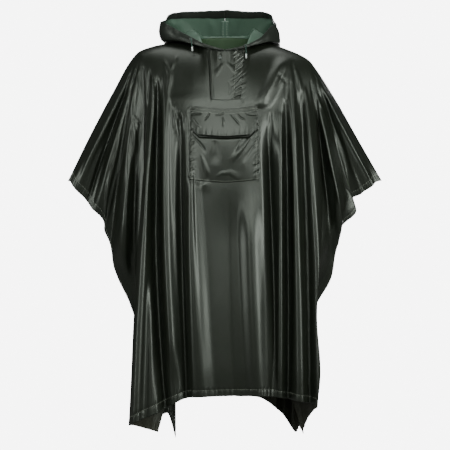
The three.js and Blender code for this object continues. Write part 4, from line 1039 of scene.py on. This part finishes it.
# Creases of the pieces that lie on the front panel, like those of the panel.
pieceCreases = [
    {"on": "placket", "line": [(0, -44), (-13, -68), (-34, -96)], "left": 24, "right": 12, "tall": 1.3, "crest": 0.5},
    {"on": "placket", "line": [(0, -44), (20, -68), (46, -92)], "left": 12, "right": 24, "tall": 1.3, "crest": 0.5},
    {"on": "placket", "line": [(8, -104), (16, -124), (12, -146)], "left": 9, "right": 9, "tall": -3, "crest": 0.4},
    {"on": "pocket", "line": [(84, -258), (58, -298), (33, -331), (18, -352)],
     "left": 18, "right": 8, "tall": 3.6, "crest": 0.7},
    {"on": "pocket", "line": [(60, -262), (40, -290), (26, -318)], "left": 9, "right": 9, "tall": -1.6, "crest": 0.5},
    {"on": "pocket", "line": [(92, -286), (66, -322), (50, -350)], "left": 9, "right": 14, "tall": -2.4, "crest": 0.4},
    {"on": "pocket", "line": [(-100, -262), (-82, -282), (-66, -300), (-56, -322)],
     "left": 9, "right": 8, "tall": -3, "crest": 0.6},
    {"on": "pocket", "line": [(-72, -318), (-62, -350), (-50, -396)], "left": 14, "right": 18, "tall": 2.4, "crest": 0.4},
    {"on": "pocket", "line": [(-34, -270), (-26, -310), (-30, -360)], "left": 26, "right": 26, "tall": -2, "crest": 0.1},
    {"on": "pocket", "line": [(-30, -392), (-8, -380), (10, -378), (30, -390), (60, -394)],
     "left": 10, "right": 24, "tall": 1.2, "crest": 0.4},
    {"on": "flap", "line": [(12, -200), (28, -218), (46, -240)], "left": 5, "right": 6, "tall": -4, "crest": 0.7},
    {"on": "flap", "line": [(-104, -205), (-86, -203), (-66, -203)], "left": 7, "right": 4, "tall": -3, "crest": 0.6},
    {"on": "flap", "line": [(-44, -199), (-52, -212), (-62, -224)], "left": 5, "right": 6, "tall": -4, "crest": 0.6},
    {"on": "flap", "line": [(-32, -208), (-14, -205), (2, -200)], "left": 6, "right": 4, "tall": -3, "crest": 0.6},
    {"on": "flap", "line": [(34, -202), (44, -214), (62, -224)], "left": 5, "right": 5, "tall": 3, "crest": 0.6},
    {"on": "flap", "line": [(58, -200), (76, -206), (98, -203)], "left": 6, "right": 4, "tall": -3, "crest": 0.6},
    {"on": "flap", "line": [(-10, -212), (-4, -228), (-8, -246)], "left": 8, "right": 8, "tall": 2.5, "crest": 0.4},
    {"on": "flap", "line": [(-92, -214), (-84, -230), (-70, -246)], "left": 8, "right": 8, "tall": 2.5, "crest": 0.4},
]


def ownCreases(layer, cut, level):
    seat = readGrid(front, frontColumns, frontRows, cut, level)
    return creaseLift(pieceCreases, layer, seat[..., 0], seat[..., 2])


# Placket: smooth at its left fold, puckered along the stitches at its right.
placketColumns = np.linspace(placketLeft, placketRight, 60)
placketRows = np.linspace(0.0015, placketFoot, 110)
cutGrid, levelGrid = np.meshgrid(placketColumns, placketRows)
edgeShare = smoothStep(0.012, placketRight - 0.004, cutGrid)
placketLift = onPanel + edgeShare * (1.6 + 2.4 * pucker(cutGrid, levelGrid, 0.7))
placketLift = placketLift - 0.8 * np.exp(-((cutGrid - 0.038) / 0.004) ** 2)
placketLift = placketLift + 2.0 * np.exp(-((cutGrid - placketLeft) / 0.006) ** 2)
placketLift = placketLift + ownCreases("placket", cutGrid, levelGrid)
placketPoints, placketNormals = onFront(cutGrid, levelGrid, np.maximum(placketLift, 1.1))
placket = makeSheet("frontPlacket", placketPoints, placketColumns[None, :] * halfWidth,
                    -placketRows[:, None] * 1000, [outerCloth, innerCloth], 0.9)
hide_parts("placket")


# Pocket: stands off the panel in its middle.
def pocketLift(cut, level):
    side = 1 - (cut / pocketHalf) ** 2
    t = (level - pocketTop) / (pocketFoot - pocketTop)
    return onPanel + pocketFill * side * np.sin(math.pi * np.minimum(1, 0.25 + 0.75 * t))


pocketColumns = np.linspace(-pocketHalf, pocketHalf, 110)
pocketRows = np.linspace(pocketTop, pocketFoot, 100)
cutGrid, levelGrid = np.meshgrid(pocketColumns, pocketRows)
pocketSide = np.exp(-((np.abs(cutGrid) - pocketHalf + 0.008) / 0.012) ** 2)
pocketForm = pocketLift(cutGrid, levelGrid) + pocketSide * (1.2 + 2.0 * pucker(cutGrid, levelGrid, 1.9))
pocketForm = pocketForm + ownCreases("pocket", cutGrid, levelGrid)
footCorner = np.maximum(0, (np.abs(cutGrid) - flapCorner) / (pocketHalf - flapCorner))
underFlap = np.exp(-((levelGrid - flapFoot + flapCut * footCorner - 0.002) / 0.0036) ** 2)
pocketForm = np.maximum(pocketForm - 7.5 * underFlap, 1.1)
pocketPoints, pocketNormals = onFront(cutGrid, levelGrid, pocketForm)
pocket = makeSheet("frontPocket", pocketPoints, pocketColumns[None, :] * halfWidth,
                   -pocketRows[:, None] * 1000, [outerCloth, innerCloth], 0.9)
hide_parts("pocket")

# Flap with its lower corners cut off.
flapSteps = np.linspace(0, 1, 34)
cutGrid, stepGrid = np.meshgrid(pocketColumns, flapSteps)
corner = np.maximum(0, (np.abs(cutGrid) - flapCorner) / (pocketHalf - flapCorner))
flapLevel = flapTop + (flapFoot - flapCut * corner - flapTop) * stepGrid
flapForm = np.maximum(pocketLift(cutGrid, np.maximum(flapLevel, pocketTop)), onPanel) + onPanel + flapStand * stepGrid
flapForm = flapForm + flapCurl * smoothStep(0.8, 1, stepGrid) ** 2
flapForm = flapForm + np.maximum(ownCreases("flap", cutGrid, flapLevel), -2.0)
flapForm = flapForm + 0.8 * ripple(cutGrid * 300 + stepGrid * 2, 8.0) * smoothStep(0.6, 1, stepGrid)
flapPoints, flapNormals = onFront(cutGrid, flapLevel, flapForm)
flap = makeSheet("pocketFlap", flapPoints, pocketColumns[None, :] * halfWidth,
                 -flapLevel * 1000, [outerCloth, innerCloth], 0.9)
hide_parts("pocket_flap")
print("placket, pocket and flap made")

# Snaps, pressed shut.
snapProfile = [(0, 0), (6.2, 0), (6.5, 0.4), (6.4, 0.9), (5.2, 1.9), (4.2, 2.0), (3.5, 1.6), (2.7, 2.1), (1.4, 2.3), (0, 2.35)]
snapSeats = [
    {"name": "placketSnap", "node": "placket_snap", "cut": -0.018, "level": 0.022, "clear": 2.2},
    {"name": "sideSnapLeft", "node": "side_snap_left", "cut": -0.95, "level": 0.45, "clear": 0.8},
    {"name": "sideSnapRight", "node": "side_snap_right", "cut": 0.95, "level": 0.37, "clear": 0.8},
]
for snap in snapSeats:
    seat, axis = onFront(np.array(snap["cut"]), np.array(snap["level"]), np.array(snap["clear"]))
    piece = makeTurned(snap["name"], snapProfile, seat, axis, snapMetal)
    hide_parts(snap["node"])

# Drawcord: eyelets, free ends and tips.
eyeletProfile = [(0, 0.1), (5, 0), (5, 0.7), (4.2, 1.3), (3.2, 1.4), (2.2, 1.0), (2.0, 0.3), (0, 0.25)]
cordSpec = {"radius": 1.5, "rise": 0.9}
cordEnds = [
    {"side": "left", "cut": -0.091,
     "route": [(0, 0, 0), (0, -4, 0.5), (1, -7, -3), (2, -8, -9), (3, -8, -16), (4, -8, -25)]},
    {"side": "right", "cut": 0.063,
     "route": [(0, 0, 0), (0, -4, 0.5), (0, -7, -3), (0, -8, -9), (1, -8, -16), (1, -8, -25)]},
]
for end in cordEnds:
    places = np.arange(lastPlace + 1)
    onSide = places < backIndex if end["side"] == "left" else places > backIndex
    frontOnes = onSide & (np.minimum(places, lastPlace - places) < 36)
    place = places[frontOnes][np.argmin(np.abs(ringCuts[frontOnes] - end["cut"]))]
    row = int(np.argmin(np.abs(hoodRows - cordSpec["rise"])))
    seat, normal = hood[row, place], hoodNormals[row, place]
    eyelet = makeTurned("eyelet" + end["side"].capitalize(), eyeletProfile, seat + normal * 0.7, normal, snapMetal, 20)
    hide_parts("eyelet_" + end["side"])
    exit = seat + normal * 2.5
    route = np.array(end["route"], float) + exit
    reach = np.concatenate([[0.0], np.cumsum(np.linalg.norm(np.diff(route, axis=0), axis=1))])
    path = through(reach, route, np.linspace(0, reach[-1], 15))
    first, last = path[0], path[-1]
    centres = [first] + list(path) + [last]
    radii = [0.0] + [cordSpec["radius"]] * len(path) + [0.0]
    cordPiece = makeRound("cord" + end["side"].capitalize(), centres, radii, cordBraid)
    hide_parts("cord_" + end["side"])
    down = (path[-1] - path[-2]) / np.linalg.norm(path[-1] - path[-2])
    tipProfile = [(0, 0), (2.4, 0), (2.7, 1.5), (2.65, 6), (2.5, 11), (1.9, 13.5), (1.0, 14), (0, 14)]
    tip = makeTurned("cordTip" + end["side"].capitalize(), tipProfile, last + down * 0.2, down, tipPlastic, 16)
    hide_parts("cord_tip_" + end["side"])
    end.update(piece=cordPiece, tip=tip, exit=[float(v) / 1000 for v in exit],
               path=[[float(v) / 1000 for v in p] for p in path],
               length=float(np.linalg.norm(np.diff(path, axis=0), axis=1).sum()) / 1000)
print("snaps and cords made")


# Stitches.
def frontPath(cuts, atLevels, lift):
    cuts, atLevels = np.broadcast_arrays(np.asarray(cuts, float), np.asarray(atLevels, float))
    return onFront(cuts, atLevels, np.full(cuts.shape, float(lift)))


def gridPath(points, normals, lift):
    return points + normals * lift, normals


hemRow = int(np.argmin(np.abs(frontRows - hemTop)))
backHemRow = int(np.argmin(np.abs(backRows - hemTop)))
stitchLift = 0.62
hemPaths = [gridPath(front[hemRow], frontNormals[hemRow], stitchLift),
            gridPath(back[backHemRow], backNormals[backHemRow], stitchLift)]
for side in (-sideHem, sideHem):
    column = int(np.argmin(np.abs(frontColumns - side)))
    hemPaths.append(gridPath(front[:hemRow, column], frontNormals[:hemRow, column], stitchLift))
    column = int(np.argmin(np.abs(backColumns - side)))
    hemPaths.append(gridPath(back[:backHemRow, column], backNormals[:backHemRow, column], stitchLift))
hemStitches = makeStitches("hemStitches", hemPaths, threadOliveAndSheen, pitch=5.4, length=3.4, radius=0.5)

rowSteps = np.linspace(0.01, placketFoot - 0.004, 80)
placketColumn = int(np.argmin(np.abs(placketColumns - 0.038)))
pieceStitches = [gridPath(placketPoints[:, placketColumn], placketNormals[:, placketColumn], stitchLift)]
for column in (4, -5):
    pieceStitches.append(gridPath(pocketPoints[20:, column], pocketNormals[20:, column], stitchLift))
pieceStitches.append(gridPath(pocketPoints[-3], pocketNormals[-3], stitchLift))
for row in (1, 5):
    pieceStitches.append(gridPath(flapPoints[row], flapNormals[row], stitchLift))
pocketStitches = makeStitches("pocketStitches", pieceStitches, threadOliveAndSheen, pitch=4.0, length=2.6, radius=0.4)

tapePaths = [gridPath(tape[:, c], -tapeNormals[:, c], 0.5) for c in (2, -3)]
tapeStitches = makeStitches("hoodSeamStitches", tapePaths, threadPale, pitch=5.2, length=3.4, radius=0.6)
print("stitches made")
# Stage: a wide pale floor, a pale surround and soft lamps out of the frame.
studioGlow = 7.0
floorMesh = bmesh.new()
bmesh.ops.create_grid(floorMesh, x_segments=1, y_segments=1, size=60.0)
floorData = bpy.data.meshes.new("floor")
floorMesh.to_mesh(floorData)
floorMesh.free()
floor = bpy.data.objects.new("floor", floorData)
for vertex in floorData.vertices:
    vertex.co.z = -1.26
# Matt studio floor that looks as pale as the surround and throws back little light.
floorMaterial, floorTree, floorOutput = startMaterial("studio floor")
seenFloor = addNode(floorTree, "ShaderNodeLightPath").outputs["Is Camera Ray"]
paint = addNode(floorTree, "ShaderNodeBsdfDiffuse", {"Color": linear("#7c7c7b")})
glow = addNode(floorTree, "ShaderNodeEmission", {"Color": (1.0, 1.0, 1.0, 1.0), "Strength": studioGlow})
floorLook = addNode(floorTree, "ShaderNodeMixShader", {0: seenFloor, 1: paint.outputs[0], 2: glow.outputs[0]})
floorTree.links.new(floorLook.outputs[0], floorOutput.inputs["Surface"])
floorData.materials.append(floorMaterial)
scene.collection.objects.link(floor)

world = bpy.data.worlds.new("studio")
world.use_nodes = True
studio = world.node_tree
studio.nodes.clear()
# The surround lights the poncho dimly and looks pale itself.
seen = addNode(studio, "ShaderNodeLightPath").outputs["Is Camera Ray"]
dim = addNode(studio, "ShaderNodeBackground", {"Color": (0.97, 1.0, 0.97, 1.0), "Strength": 0.08})
pale = addNode(studio, "ShaderNodeBackground", {"Color": (1.0, 1.0, 1.0, 1.0), "Strength": studioGlow})
both = addNode(studio, "ShaderNodeMixShader", {0: seen, 1: dim.outputs[0], 2: pale.outputs[0]})
addNode(studio, "ShaderNodeOutputWorld", {"Surface": both.outputs[0]})
scene.world = world

lamps = [
    {"name": "front over the lens", "at": (0.0, -4.7, 1.1), "size": (4.6, 0.8), "power": 116.0},
    {"name": "front left strip", "at": (-2.0, -4.5, -0.1), "size": (0.9, 1.7), "power": 22.0},
    {"name": "front right strip", "at": (2.0, -4.5, -0.1), "size": (0.8, 1.7), "power": 24.0},
    {"name": "front high", "at": (0.0, -4.0, 2.6), "size": (3.4, 1.4), "power": 52.0},
    {"name": "left side", "at": (-4.6, -1.9, 0.3), "size": (1.5, 3.2), "power": 98.0},
    {"name": "right side", "at": (3.9, -2.8, 0.3), "size": (1.6, 3.0), "power": 175.0},
    {"name": "behind", "at": (0.8, 5.0, 0.1), "size": (3.0, 2.6), "power": 200.0},
    {"name": "overhead", "at": (-0.15, 0.2, 4.2), "size": (4.2, 2.8), "power": 120.0},
]
aim = Vector((0.0, 0.0, -0.5))
for lamp in lamps:
    data = bpy.data.lights.new(lamp["name"], "AREA")
    data.shape = "RECTANGLE"
    data.size, data.size_y = lamp["size"]
    data.energy = lamp["power"]
    light = bpy.data.objects.new(lamp["name"], data)
    light.location = lamp["at"]
    toward = aim - Vector(lamp["at"])
    light.rotation_euler = toward.to_track_quat("-Z", "Y").to_euler()
    light.visible_camera = False
    scene.collection.objects.link(light)
print("stage made")
